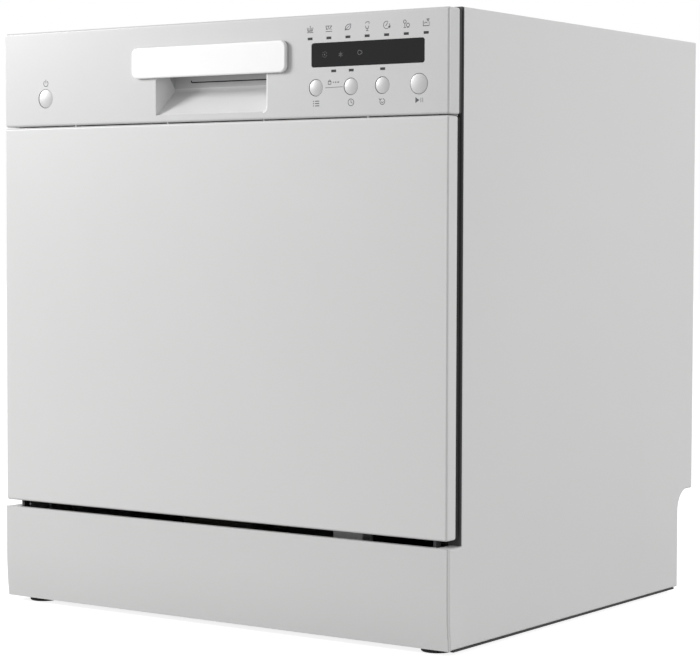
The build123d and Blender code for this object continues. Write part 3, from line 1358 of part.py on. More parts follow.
def basket(floor_z, top_z, cross, along, tines):
    """Wire basket: crossed floor wires, upright sides, a mid rail and a thicker rim."""
    step = WIRE_R + WELD_GAP
    rows = spread(RACK_FRONT + 22.0, RACK_BACK - 22.0, cross)
    columns = spread(RACK_EDGE - RACK_HALF, RACK_HALF - RACK_EDGE, along)
    cross_z = floor_z
    along_z = floor_z + 2 * step
    side_x = RACK_HALF + step
    front_d = RACK_FRONT - step
    back_d = RACK_BACK + step
    rim_z = top_z - RIM_R
    post_top = rim_z - RIM_R - WELD_GAP
    wires_along_x([(d, cross_z) for d in rows], -RACK_HALF, RACK_HALF, WIRE_R)
    wires_along_y([(x, along_z) for x in columns], RACK_FRONT, RACK_BACK, WIRE_R)
    wires_up([(s * side_x, d) for s in (-1, 1) for d in rows], cross_z - WIRE_R, post_top, WIRE_R)
    wires_up([(x, d) for x in columns for d in (front_d, back_d)], along_z - WIRE_R, post_top,
             WIRE_R)
    wires_along_y([(s * side_x, rim_z) for s in (-1, 1)], front_d - RIM_R, back_d + RIM_R, RIM_R)
    end = side_x - RIM_R - WELD_GAP
    wires_along_x([(front_d, rim_z), (back_d, rim_z)], -end, end, RIM_R)
    mid_z = (along_z + rim_z) / 2
    out_x = side_x + 2 * step
    wires_along_y([(s * out_x, mid_z) for s in (-1, 1)], front_d - 2 * step, back_d + 2 * step,
                  WIRE_R)
    wires_along_x([(front_d - 2 * step, mid_z), (back_d + 2 * step, mid_z)], -out_x + step,
                  out_x - step, WIRE_R)
    if tines:
        tine_z = along_z + step
        wires_up(tines, tine_z, tine_z + TINE_H, WIRE_R)


def lower_rack():
    """Lower rack: wire basket with plate tines and four wheel brackets."""
    columns = spread(RACK_EDGE - RACK_HALF, RACK_HALF - RACK_EDGE, 9)
    rows = spread(RACK_FRONT + 40.0, RACK_BACK - 40.0, 8)
    tines = [(columns[i], d) for i in (1, 3, 5) for d in rows]
    with BuildPart() as rack:
        basket(LOWER_Z, LOWER_TOP, 7, 9, tines)
        axle_z = AXLE_Z
        for side in (-1, 1):
            for d in (WHEEL_FRONT, WHEEL_BACK):
                x_in = WHEEL_X - 3.6
                x0 = x_in if side > 0 else -x_in - 3.0
                with BuildSketch(sideways(x0)):
                    with BuildLine():
                        Polyline((at(d - 22.0), LOWER_Z + 16.0), (at(d - 6.0), axle_z - 5.0),
                                 (at(d + 6.0), axle_z - 5.0), (at(d + 22.0), LOWER_Z + 16.0),
                                 close=True)
                    make_face()
                extrude(amount=3.0)
                post = RACK_HALF + 2 * WIRE_R + 2 * WELD_GAP
                b0, b1 = sorted((side * post, side * (x_in + 0.5)))
                block(b0, b1, d - 5.0, d + 5.0, LOWER_Z + 6.0, LOWER_Z + 15.0)
                pin = x0 if side > 0 else -WHEEL_X - WHEEL_W - 1.6
                with BuildSketch(sideways(pin)):
                    with Locations((at(d), axle_z)):
                        Circle(AXLE_R)
                extrude(amount=WHEEL_W + 5.2)
                cap = WHEEL_X + WHEEL_W + 0.6 if side > 0 else -WHEEL_X - WHEEL_W - 1.6
                with BuildSketch(sideways(cap)):
                    with Locations((at(d), axle_z)):
                        Circle(AXLE_R + 1.5)
                extrude(amount=1.0)
    save(rack.part, "lower_rack")


def rack_wheel(name, side, depth):
    """Rack wheel with a rounded tread and a dished face."""
    axle_z = AXLE_Z
    x0 = WHEEL_X if side > 0 else -WHEEL_X - WHEEL_W
    with BuildPart() as wheel:
        with BuildSketch(sideways(x0)):
            with Locations((at(depth), axle_z)):
                Circle(WHEEL_R)
                Circle(AXLE_R + RUN, mode=Mode.SUBTRACT)
        extrude(amount=WHEEL_W)
        rim = edges().filter_by(GeomType.CIRCLE).filter_by(lambda e: e.radius > WHEEL_R - 1.0)
        fillet(rim, radius=1.2)
        outer = x0 + WHEEL_W if side > 0 else x0
        with BuildSketch(sideways(outer)):
            with Locations((at(depth), axle_z)):
                Circle(WHEEL_R - 3.0)
                Circle(AXLE_R + 3.0, mode=Mode.SUBTRACT)
        extrude(amount=-2.0 if side > 0 else 2.0, mode=Mode.SUBTRACT)
    save(wheel.part, name)


def cutlery_basket():
    """Cutlery basket: flared tub with four open cells and a carrying grip on its divider."""
    z0 = BASKET_Z
    foot_w = BASKET_W - 8.0
    foot_l = BASKET_L - 8.0
    divider = z0 + BASKET_H - 6.0
    with BuildPart() as tub:
        with BuildSketch(Plane.XY.offset(z0)):
            with Locations((BASKET_X, at(BASKET_D))):
                RectangleRounded(foot_w, foot_l, BASKET_R)
        extrude(amount=BASKET_H, taper=-BASKET_FLARE)
        with BuildSketch(Plane.XY.offset(z0 + BASKET_WALL)):
            with Locations((BASKET_X, at(BASKET_D))):
                RectangleRounded(foot_w - 2 * BASKET_WALL, foot_l - 2 * BASKET_WALL,
                                 BASKET_R - BASKET_WALL)
        extrude(amount=BASKET_H, taper=-BASKET_FLARE, mode=Mode.SUBTRACT)
        block(BASKET_X - BASKET_WALL / 2, BASKET_X + BASKET_WALL / 2, BASKET_D - BASKET_L / 2 + 5.0,
              BASKET_D + BASKET_L / 2 - 5.0, z0 + 1.0, divider)
        block(BASKET_X - BASKET_W / 2 + 5.0, BASKET_X + BASKET_W / 2 - 5.0,
              BASKET_D - BASKET_WALL / 2, BASKET_D + BASKET_WALL / 2, z0 + 1.0, divider)
        with BuildSketch(sideways(BASKET_X - BASKET_WALL / 2)):
            with Locations((at(BASKET_D), divider - 1.0 + BASKET_GRIP_H / 2)):
                Trapezoid(BASKET_GRIP_W, BASKET_GRIP_H, 70)
            with Locations((at(BASKET_D), divider + BASKET_GRIP_H / 2 - 0.5)):
                SlotOverall(BASKET_GRIP_W - 24.0, BASKET_GRIP_H / 2, mode=Mode.SUBTRACT)
        extrude(amount=BASKET_WALL)
    save(tub.part, "cutlery_basket")


def upper_rack():
    """Upper rack: shallower wire basket for cups and glasses."""
    columns = spread(RACK_EDGE - RACK_HALF, RACK_HALF - RACK_EDGE, 9)
    rows = spread(RACK_FRONT + 40.0, RACK_BACK - 40.0, 7)
    tines = [(columns[i], d) for i in (2, 6) for d in rows]
    with BuildPart() as rack:
        basket(UPPER_Z, UPPER_TOP, 7, 9, tines)
    save(rack.part, "upper_rack")


def rack_rails():
    """Channel rails on the upper rack's sides, open towards the tub walls."""
    clip_x = RACK_HALF + 4 * (WIRE_R + WELD_GAP)
    with BuildPart() as rails:
        for side in (-1, 1):
            x0, x1 = sorted((side * RAIL_X, side * (RAIL_X + RAIL_W)))
            h0, h1 = sorted((side * (RAIL_X + RAIL_T), side * (RAIL_X + RAIL_W + 1.0)))
            c0, c1 = sorted((side * clip_x, side * (RAIL_X + 0.2)))
            block(x0, x1, RACK_FRONT + 4.0, RACK_BACK - 4.0, RAIL_Z - RAIL_H / 2,
                  RAIL_Z + RAIL_H / 2)
            block(h0, h1, RACK_FRONT + 3.0, RACK_BACK - 3.0, RAIL_Z - RAIL_H / 2 + RAIL_T,
                  RAIL_Z + RAIL_H / 2 - RAIL_T, mode=Mode.SUBTRACT)
            for d in (RACK_FRONT + 40.0, RACK_BACK - 40.0):
                block(c0, c1, d - 8.0, d + 8.0, RAIL_Z - 8.0, RAIL_Z + 8.0)
    save(rails.part, "rack_rails")


def rail_guides():
    """Guide shoes on the tub walls that run inside the rack's rails."""
    shoe = RAIL_H - 2 * RAIL_T - 2 * SHOE_CLEAR
    inner = RAIL_X + RAIL_T + 1.0
    with BuildPart() as guides:
        for side in (-1, 1):
            x0, x1 = sorted((side * inner, side * (TUB_HALF - 0.1)))
            block(x0, x1, SHOE_FRONT, SHOE_FRONT + SHOE_L, RAIL_Z - shoe / 2, RAIL_Z + shoe / 2)
        fillet(edges().filter_by(Axis.X), radius=4.0)
    save(guides.part, "rail_guides")


def upper_duct():
    """Duct under the upper rack from the dock at the back to the spray hub."""
    z = DOCK_Z
    with BuildPart() as duct:
        with BuildSketch(across(ARM_D)):
            with Locations((0, z)):
                Circle(DUCT_R)
        extrude(amount=-(RACK_BACK + 5.0 - ARM_D))
        seat = UPPER_Z - WIRE_R - WELD_GAP
        with Locations((0, at(ARM_D), (seat + z - 9.2) / 2)):
            Cylinder(13.0, seat - z + 9.2)
        block(-6.0, 6.0, RACK_BACK - 26.0, RACK_BACK - 18.0, z, seat)
        with Locations((0, at(ARM_D), UPPER_SPRAY_Z + 2.0)):
            Cylinder(HUB_R, 16.0)
        with Locations((0, at(ARM_D), UPPER_SPRAY_Z - 7.5)):
            Cylinder(HUB_R + 2.5, 3.0)
    save(duct.part, "upper_duct")


def spray_arm(name, length, z0):
    """Blade arm: plan tapering from the hub to its round tips, soft top edge, sunk jets."""
    tip_x = length / 2 - SPRAY_TIP_R
    with BuildPart() as arm:
        with BuildSketch(Plane.XY.offset(z0)):
            with Locations((0, at(ARM_D))):
                Circle(SPRAY_HUB_R)
            with Locations((-tip_x, at(ARM_D)), (tip_x, at(ARM_D))):
                Circle(SPRAY_TIP_R)
            make_hull()
            with Locations((0, at(ARM_D))):
                Circle(HUB_R + RUN * 2, mode=Mode.SUBTRACT)
        extrude(amount=SPRAY_T)
        fillet(faces().sort_by(Axis.Z)[-1].outer_wire().edges(), radius=3.0)
        with BuildSketch(Plane.XY.offset(z0 + SPRAY_T)):
            with Locations(*[(s * tip_x * k, at(ARM_D) + s * 4.0) for s in (-1, 1)
                             for k in (0.4, 0.68, 0.95)]):
                SlotOverall(9.0, 3.0)
        extrude(amount=-2.0, mode=Mode.SUBTRACT)
    save(arm.part, name)


def build_all():
    cabinet_side("side_panel_left", -1)
    cabinet_side("side_panel_right", 1)
    top_panel()
    back_panel()
    connection_plate()
    plinth()
    base_tray()
    feet()
    panel_screws()
    door_panel()
    control_panel()
    button("power_button", POWER_X, POWER_R, 0.3, 1.2)
    button("program_button", PROGRAM_X, SMALL_BUTTON_R, 0.3, 0.8)
    button("delay_button", DELAY_X, SMALL_BUTTON_R, 0.3, 0.8)
    button("half_load_button", HALF_X, SMALL_BUTTON_R, 0.3, 0.8)
    button("start_button", START_X, START_R, 0.8, 1.6)
    display_window()
    indicator_lenses()
    control_board()
    control_cover()
    door_handle()
    handle_pin()
    latch_housing()
    latch_hook()
    strike_plate()
    hinge_arms()
    hinge_brackets()
    door_springs()
    door_liner()
    dispenser_body()
    detergent_lid()
    rinse_cap()
    tub_wrapper()
    tub_back()
    tub_floor()
    door_seal()
    sill_bracket()
    sump()
    filter_plate()
    filter_cup()
    salt_cap()
    softener()
    wash_pump()
    drain_pump()
    inlet_valve()
    drain_outlet()
    cord_gland()
    feed_pipe()
    lower_rack()
    rack_wheel("wheel_front_left", -1, WHEEL_FRONT)
    rack_wheel("wheel_front_right", 1, WHEEL_FRONT)
    rack_wheel("wheel_back_left", -1, WHEEL_BACK)
    rack_wheel("wheel_back_right", 1, WHEEL_BACK)
    cutlery_basket()
    upper_rack()
    rack_rails()
    rail_guides()
    upper_duct()
    spray_arm("lower_spray_arm", LOWER_SPRAY_L, LOWER_SPRAY_Z)
    spray_arm("upper_spray_arm", UPPER_SPRAY_L, UPPER_SPRAY_Z - SPRAY_T / 2)


build_all()
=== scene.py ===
import math

import bmesh
import bpy
from mathutils import Matrix, Vector


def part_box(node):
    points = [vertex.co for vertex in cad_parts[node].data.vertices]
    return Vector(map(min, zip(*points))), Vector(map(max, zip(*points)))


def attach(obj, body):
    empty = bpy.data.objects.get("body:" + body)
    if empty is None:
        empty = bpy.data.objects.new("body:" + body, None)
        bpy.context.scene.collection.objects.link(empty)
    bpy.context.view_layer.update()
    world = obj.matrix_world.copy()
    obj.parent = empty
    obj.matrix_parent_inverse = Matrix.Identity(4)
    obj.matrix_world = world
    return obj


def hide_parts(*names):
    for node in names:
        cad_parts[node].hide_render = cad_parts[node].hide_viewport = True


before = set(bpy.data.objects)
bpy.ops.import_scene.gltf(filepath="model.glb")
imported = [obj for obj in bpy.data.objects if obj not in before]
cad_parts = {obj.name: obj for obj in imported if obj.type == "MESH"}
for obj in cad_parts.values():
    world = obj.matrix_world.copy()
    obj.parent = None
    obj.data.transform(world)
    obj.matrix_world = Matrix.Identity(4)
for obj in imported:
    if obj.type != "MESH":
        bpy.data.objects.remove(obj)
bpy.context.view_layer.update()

MM = 0.001
GRIP_PROUD = 4.5       # the grip plate stands this far before the door's face
BODY_DEPTH = 500.0
SCREWS_PROUD = 1.6     # heads of the screws at the back
FRONT_Y = (GRIP_PROUD - (GRIP_PROUD + BODY_DEPTH + SCREWS_PROUD) / 2) * MM   # the door's face


def at(depth):
    """Row y, in metres, of a depth in millimetres behind the door's face."""
    return FRONT_Y + depth * MM


def span(low, high):
    """Left, right, front, back, bottom and top of a node's box, in millimetres and depths."""
    return (low.x / MM, high.x / MM, (low.y - FRONT_Y) / MM, (high.y - FRONT_Y) / MM,
            low.z / MM, high.z / MM)


# ------------------------------------------------------------------ materials
COAT_ROUGHNESS = 0.12
DRIFT_STOPS = (0.3, 0.7)       # values of the noise that the colour drifts between
FINE_STOPS = (0.25, 0.75)      # the same for the roughness
FINE_RATIO = 9.0               # the roughness pattern is this much finer than the colour's
RELIEF_DEPTH = 0.2 * MM


def noise_over(nt, scale, detail=3.0, rough=0.55, stretch=None):
    """Noise in the object's own coordinates, stretched along an axis where asked."""
    noise = nt.nodes.new("ShaderNodeTexNoise")
    noise.inputs["Scale"].default_value = scale
    noise.inputs["Detail"].default_value = detail
    noise.inputs["Roughness"].default_value = rough
    place = nt.nodes.new("ShaderNodeTexCoord").outputs["Object"]
    if stretch is not None:
        mapping = nt.nodes.new("ShaderNodeMapping")
        mapping.inputs["Scale"].default_value = stretch
        nt.links.new(place, mapping.inputs["Vector"])
        place = mapping.outputs["Vector"]
    nt.links.new(place, noise.inputs["Vector"])
    return noise


def ramp(nt, source, stops, first, last):
    """Colour ramp from first to last between two values of the source."""
    node = nt.nodes.new("ShaderNodeValToRGB")
    for element, position, color in zip(node.color_ramp.elements, stops, (first, last)):
        element.position = position
        element.color = (*color, 1)
    nt.links.new(source, node.inputs["Fac"])
    return node


def finish_of(name, color, rough, metallic=0.0, spread=0.03, scale=6.0, bump=0.0,
              bump_scale=900.0, stretch=None, coat=0.0, rough_spread=0.06, spec=0.5):
    """Base colour and roughness that drift a little over the surface, and a fine relief."""
    mat = bpy.data.materials.new(name)
    mat.use_nodes = True
    nt = mat.node_tree
    bsdf = nt.nodes["Principled BSDF"]
    bsdf.inputs["Metallic"].default_value = metallic
    bsdf.inputs["Specular IOR Level"].default_value = spec
    bsdf.inputs["Coat Weight"].default_value = coat
    bsdf.inputs["Coat Roughness"].default_value = COAT_ROUGHNESS
    drift = noise_over(nt, scale, stretch=stretch)
    dark = tuple(max(0.0, c * (1 - spread)) for c in color)
    light = tuple(min(1.0, c * (1 + spread)) for c in color)
    shade = ramp(nt, drift.outputs["Fac"], DRIFT_STOPS, dark, light)
    nt.links.new(shade.outputs["Color"], bsdf.inputs["Base Color"])
    fine = noise_over(nt, scale * FINE_RATIO, detail=4.0, stretch=stretch)
    gloss = ramp(nt, fine.outputs["Fac"], FINE_STOPS, (rough - rough_spread / 2,) * 3,
                 (rough + rough_spread / 2,) * 3)
    nt.links.new(gloss.outputs["Color"], bsdf.inputs["Roughness"])
    if bump:
        grain = noise_over(nt, bump_scale, detail=2.0, stretch=stretch)
        relief = nt.nodes.new("ShaderNodeBump")
        relief.inputs["Strength"].default_value = bump
        relief.inputs["Distance"].default_value = RELIEF_DEPTH
        nt.links.new(grain.outputs["Fac"], relief.inputs["Height"])
        nt.links.new(relief.outputs["Normal"], bsdf.inputs["Normal"])
    return mat


FINISHES = {
    "door_paint": dict(color=(0.655, 0.655, 0.652), rough=0.36, spread=0.008, scale=3.0,
                       bump=0.10, bump_scale=700.0, coat=0.10, spec=0.4),
    "body_paint": dict(color=(0.66, 0.66, 0.658), rough=0.44, spread=0.010, scale=3.0,
                       bump=0.16, bump_scale=620.0, spec=0.4),
    "plinth_paint": dict(color=(0.63, 0.63, 0.627), rough=0.42, spread=0.010, scale=3.0,
                         bump=0.12, bump_scale=640.0, spec=0.4),
    "fascia": dict(color=(0.605, 0.605, 0.605), rough=0.34, spread=0.008, scale=5.0,
                   bump=0.06, bump_scale=1300.0, coat=0.12, spec=0.4),
    "grip_white": dict(color=(0.96, 0.96, 0.96), rough=0.24, spread=0.006, scale=6.0,
                       bump=0.04, bump_scale=1500.0, coat=0.6),
    # the scoop's own pale colour, set lighter than the fascia as painted light against the
    # scoop's shade; its left wall lighter again, painted light
    "scoop_pale_painted_light": dict(color=(0.79, 0.79, 0.79), rough=0.30, spread=0.006, scale=6.0,
                        bump=0.04, bump_scale=1500.0, coat=0.15),
    "scoop_side_painted_light": dict(color=(0.97, 0.97, 0.97), rough=0.30, spread=0.006, scale=6.0,
                       bump=0.04, bump_scale=1500.0, coat=0.15),
    "button_pearl": dict(color=(0.50, 0.50, 0.50), rough=0.40, metallic=0.10, spread=0.01,
                         scale=20.0, bump=0.04, bump_scale=1500.0, coat=0.2),
    "window_dark": dict(color=(0.011, 0.011, 0.012), rough=0.14, spread=0.08, scale=8.0,
                        rough_spread=0.03, spec=0.2),
    "lamp": dict(color=(0.036, 0.037, 0.039), rough=0.24, spread=0.06, scale=60.0,
                 rough_spread=0.05, spec=0.3),
    "stainless": dict(color=(0.66, 0.66, 0.655), rough=0.33, metallic=1.0, spread=0.025,
                      scale=12.0, bump=0.05, bump_scale=500.0, stretch=(1.0, 1.0, 26.0),
                      rough_spread=0.08),
    "galvanised": dict(color=(0.44, 0.45, 0.46), rough=0.50, metallic=0.7, spread=0.07,
                       scale=110.0, bump=0.08, bump_scale=500.0, rough_spread=0.10),
    # painted light: the sill bracket's zinc is set lighter than the galvanised parts, to lift
    # it out of the shade under the door
    "zinc_painted_light": dict(color=(0.78, 0.78, 0.78), rough=0.50, metallic=0.2, spread=0.06,
                        scale=110.0, bump=0.08, bump_scale=500.0, rough_spread=0.10),
    "grey_plastic": dict(color=(0.16, 0.165, 0.175), rough=0.45, spread=0.04, scale=14.0,
                         bump=0.15, bump_scale=1100.0),
    "light_plastic": dict(color=(0.52, 0.53, 0.54), rough=0.42, spread=0.02, scale=10.0,
                          bump=0.12, bump_scale=1000.0),
    "black_plastic": dict(color=(0.018, 0.018, 0.019), rough=0.55, spread=0.15, scale=14.0,
                          bump=0.2, bump_scale=900.0, spec=0.3),
    # painted shade: near-black for faces standing where the gaps beside the door and in the
    # scoop are dark
    "gap_painted_shade": dict(color=(0.006, 0.006, 0.006), rough=0.62, spread=0.15, scale=14.0,
                       bump=0.2, bump_scale=900.0, spec=0.15),
    "dark_steel": dict(color=(0.035, 0.035, 0.037), rough=0.42, metallic=0.6, spread=0.14,
                       scale=40.0, bump=0.10, bump_scale=420.0, rough_spread=0.15),
    "rubber": dict(color=(0.018, 0.018, 0.019), rough=0.72, spread=0.2, scale=20.0,
                   bump=0.25, bump_scale=700.0, spec=0.3),
    # painted shade: dark grey for the side panels' front lip, seen in the shaded gap beside the
    # door
    "lip_painted_shade": dict(color=(0.080, 0.080, 0.083), rough=0.66, spread=0.12, scale=26.0,
                        bump=0.15, bump_scale=900.0, spec=0.3),
    "gasket": dict(color=(0.045, 0.045, 0.048), rough=0.62, spread=0.12, scale=30.0,
                   bump=0.12, bump_scale=900.0, spec=0.4),
    "wire_coat": dict(color=(0.46, 0.47, 0.50), rough=0.34, spread=0.04, scale=24.0,
                      bump=0.10, bump_scale=800.0, coat=0.2),
    "board": dict(color=(0.02, 0.12, 0.05), rough=0.40, spread=0.15, scale=50.0,
                  bump=0.2, bump_scale=600.0),
    "pump_white": dict(color=(0.55, 0.55, 0.52), rough=0.5, spread=0.03, scale=16.0,
                       bump=0.15, bump_scale=900.0),
    "print_grey": dict(color=(0.085, 0.088, 0.094), rough=0.5, spread=0.04, scale=40.0,
                       rough_spread=0.04, spec=0.3),
    "display_mark": dict(color=(0.12, 0.12, 0.125), rough=0.4, spread=0.05, scale=60.0,
                         rough_spread=0.04, spec=0.2),
}
MAT = {name: finish_of(name, **look) for name, look in FINISHES.items()}

NODES_IN = {
    "body_paint": ("side_panel_left", "side_panel_right", "top_panel"),
    "plinth_paint": ("plinth",),
    "door_paint": ("door_panel",),
    "fascia": ("control_panel",),
    "grip_white": ("door_handle",),
    "button_pearl": ("power_button", "program_button", "delay_button", "half_load_button",
                     "start_button"),
    "window_dark": ("display_window",),
    "lamp": ("indicator_lenses",),
    "stainless": ("panel_screws", "strike_plate", "tub_wrapper", "tub_back", "filter_plate",
                  "handle_pin", "door_liner", "latch_hook", "rack_rails"),
    "galvanised": ("back_panel", "connection_plate", "hinge_brackets", "door_springs"),
    "zinc_painted_light": ("sill_bracket",),
    "dark_steel": ("hinge_arms",),
    "grey_plastic": ("sump", "control_cover", "detergent_lid", "rinse_cap", "cutlery_basket",
                     "wheel_front_left", "wheel_front_right", "wheel_back_left",
                     "wheel_back_right", "filter_cup"),
    "light_plastic": ("tub_floor", "feed_pipe", "rail_guides", "dispenser_body", "upper_duct",
                      "upper_spray_arm", "lower_spray_arm", "salt_cap"),
    "black_plastic": ("base_tray", "drain_outlet", "cord_gland", "latch_housing"),
    "rubber": ("feet",),
    "gasket": ("door_seal",),
    "wire_coat": ("lower_rack", "upper_rack"),
    "board": ("control_board",),
    "pump_white": ("softener", "wash_pump", "drain_pump", "inlet_valve"),
}
NODE_MATERIAL = {node: key for key, nodes in NODES_IN.items() for node in nodes}
for node, key in NODE_MATERIAL.items():
    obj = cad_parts[node]
    obj.data.materials.clear()
    obj.data.materials.append(MAT[key])


# ------------------------------------------------------------------ mesh helpers
def mesh_object(name, bm, material, smooth=True):
    """Object made of the bmesh, which is freed."""
    mesh = bpy.data.meshes.new(name)
    bm.to_mesh(mesh)
    bm.free()
    obj = bpy.data.objects.new(name, mesh)
    bpy.context.scene.collection.objects.link(obj)
    mesh.materials.append(material)
    for polygon in mesh.polygons:
        polygon.use_smooth = smooth
    return obj


def point(bm, x, depth, z):
    """Vertex at an x, depth and z in millimetres."""
    return bm.verts.new((x * MM, at(depth), z * MM))


def soften(obj, angle):
    """Smooth faces that keep their edges sharper than the angle."""
    obj.data.set_sharp_from_angle(angle=math.radians(angle))
    even = obj.modifiers.new("normals", "WEIGHTED_NORMAL")
    even.keep_sharp = True
    return obj


def bevelled(obj, width):
    """Edges eased by a small round."""
    eased = obj.modifiers.new("eased", "BEVEL")
    eased.width = width * MM
    eased.segments = 3
    eased.limit_method = "ANGLE"
    return obj


def bar(bm, x0, x1, d0, d1, z0, z1):
    """A box between two corners given in millimetres and depths."""
    for v in bmesh.ops.create_cube(bm, size=1.0)["verts"]:
        v.co = Vector(((x0 + x1) / 2 * MM + v.co.x * (x1 - x0) * MM,
                       at((d0 + d1) / 2) + v.co.y * (d1 - d0) * MM,
                       (z0 + z1) / 2 * MM + v.co.z * (z1 - z0) * MM))


def arc(cx, cz, radius, start, end, steps=20):
    """(x, z) points from one angle to another, in degrees."""
    angles = [math.radians(start + (end - start) * i / steps) for i in range(steps + 1)]
    return [(cx + radius * math.cos(a), cz + radius * math.sin(a)) for a in angles]


def rounded_loop(half_w, half_h, radius, x, z, steps=7):
    """(x, z) points of a rectangle with rounded corners, counter-clockwise."""
    points = []
    for side, level, start in ((1, 1, 0), (-1, 1, 90), (-1, -1, 180), (1, -1, 270)):
        points += arc(x + side * (half_w - radius), z + level * (half_h - radius), radius,
                      start, start + 90, steps)
    return points


def patch(bm, points, depth):
    """Flat face through (x, z) points."""
    bm.faces.new([point(bm, x, depth, z) for x, z in points])


def disc(bm, cx, cz, radius, depth, steps=10):
    """Flat round face."""
    patch(bm, arc(cx, cz, radius, 0, 360, steps)[:-1], depth)


MITRE_LIMIT = 0.5      # least cosine that widens a turn


def stroke(bm, points, width, depth, closed=False):
    """A flat strip of one width along (x, z) points in millimetres."""
    n = len(points)
    left, right = [], []
    for i, p in enumerate(points):
        inner = closed or 0 < i < n - 1
        here = Vector(p)
        before = Vector(points[(i - 1) % n]) if closed or i > 0 else here
        after = Vector(points[(i + 1) % n]) if closed or i < n - 1 else here
        along = (after - before).normalized()
        side = Vector((-along.y, along.x)) * (width / 2)
        if inner:
            side = side / max(MITRE_LIMIT, (here - before).normalized().dot(along))
        for store, q in ((left, here + side), (right, here - side)):
            store.append(point(bm, q.x, depth, q.y))
    for i in range(n if closed else n - 1):
        j = (i + 1) % n
        bm.faces.new((left[i], right[i], right[j], left[j]))


def lathe(name, profile, x, z, material, steps=56):
    """Solid turned about a front-to-back line at (x, z), from (radius, depth) points."""
    bm = bmesh.new()
    rings = []
    for radius, depth in profile:
        around = arc(x, z, radius, 0, 360, steps)[:-1] if radius else [(x, z)]
        rings.append([point(bm, px, depth, pz) for px, pz in around])
    for a, b in zip(rings, rings[1:]):
        for i in range(steps):
            j = (i + 1) % steps
            if len(a) == 1:
                bm.faces.new((a[0], b[i], b[j]))
            elif len(b) == 1:
                bm.faces.new((a[i], b[0], a[j]))
            else:
                bm.faces.new((a[i], b[i], b[j], a[j]))
    bmesh.ops.recalc_face_normals(bm, faces=bm.faces)
    return soften(mesh_object(name, bm, material), angle=35.0)


MERGE = 1e-6           # corners closer than this, in metres, are one
ON_PLANE = 1e-7


def paint_shade_and_light(node, body, cuts, bands):
    """The node's own shape with some of its faces in other materials, for painted shade and
    painted light.

    cuts: (place, normal) of the planes that the faces are cut at.
    bands: (material, test of a face's centre); the last one that holds counts.
    """
    bm = bmesh.new()
    bm.from_mesh(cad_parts[node].data)
    bmesh.ops.remove_doubles(bm, verts=bm.verts, dist=MERGE)
    for place, normal in cuts:
        bmesh.ops.bisect_plane(bm, geom=bm.verts[:] + bm.edges[:] + bm.faces[:], dist=ON_PLANE,
                               plane_co=place, plane_no=normal)
    obj = mesh_object(node + "_skin", bm, MAT[NODE_MATERIAL[node]])
    if "custom_normal" in obj.data.attributes:
        obj.data.attributes.remove(obj.data.attributes["custom_normal"])
    for material, _ in bands:
        obj.data.materials.append(MAT[material])
    for face in obj.data.polygons:
        face.material_index = 0
        for k, (_, inside) in enumerate(bands):
            if inside(face.center):
                face.material_index = k + 1
    soften(obj, angle=30.0)
    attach(obj, body)
    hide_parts(node)


# ------------------------------------------------------------------ door, fascia, side panels
WALL_X = 270.5         # the door's side walls lie outside this
DOOR_SHADE_DEPTH = 14.5     # depth behind which the door's side walls are painted black, as painted shade of the gap beside the cabinet
FASCIA_SHADE_DEPTH = 17.2   # the same painted gap shade, for the fascia's side walls
LIP_BACK = 24.3        # the cabinet's front lip ends here
SILL_TOP = 100.5       # the front lip of the side panels is painted dark above this, as painted shade of the gap beside the door
SCOOP_LEFT, SCOOP_RIGHT, SCOOP_BOTTOM, SCOOP_TOP = -70.6, 68.1, 503.5, 541.0
SCOOP_SIDE_END = -46.0     # the scoop's slanting left wall ends here; it is painted lighter still, as painted light against the handle's shadow
SCOOP_SKIN = 0.3           # faces deeper than this are inside the scoop
BACKWARD, UPWARD = (0, 1, 0), (0, 0, 1)


def on_wall(c, depth):
    """Is the centre on a side wall of the door, beyond the depth?"""
    return c.y > at(depth) and abs(c.x) > WALL_X * MM


def in_scoop(c, right=SCOOP_RIGHT):
    """Is the centre on a face of the finger scoop, left of the x given?"""
    return (SCOOP_LEFT * MM < c.x < right * MM and SCOOP_BOTTOM * MM < c.z < SCOOP_TOP * MM
            and c.y > at(SCOOP_SKIN))


# painted shade: the back of the door's side walls is black, as the gap beside the cabinet is
# dark
paint_shade_and_light("door_panel", "door", [((0, at(DOOR_SHADE_DEPTH), 0), BACKWARD)],
         [("gap_painted_shade", lambda c: on_wall(c, DOOR_SHADE_DEPTH))])
# painted shade: the back of the fascia's side walls is black, as the gap beside the cabinet is
# dark
paint_shade_and_light("control_panel", "door", [((0, at(FASCIA_SHADE_DEPTH), 0), BACKWARD)],
         [("black_plastic", lambda c: on_wall(c, FASCIA_SHADE_DEPTH)),
          # painted light: the scoop's faces are lighter than the fascia they are moulded in,
          # partly a pale plastic and partly lit against their shade
          ("scoop_pale_painted_light", in_scoop),
          ("scoop_side_painted_light", lambda c: in_scoop(c, SCOOP_SIDE_END))])
# painted shade: the side panels' front lip is dark grey above the sill, as the gap beside the
# door is shaded
for side in ("left", "right"):
    paint_shade_and_light("side_panel_" + side, "cabinet",
             [((0, at(LIP_BACK), 0), BACKWARD), ((0, 0, SILL_TOP * MM), UPWARD)],
             [("lip_painted_shade", lambda c: c.y < at(LIP_BACK) and c.z > SILL_TOP * MM)])

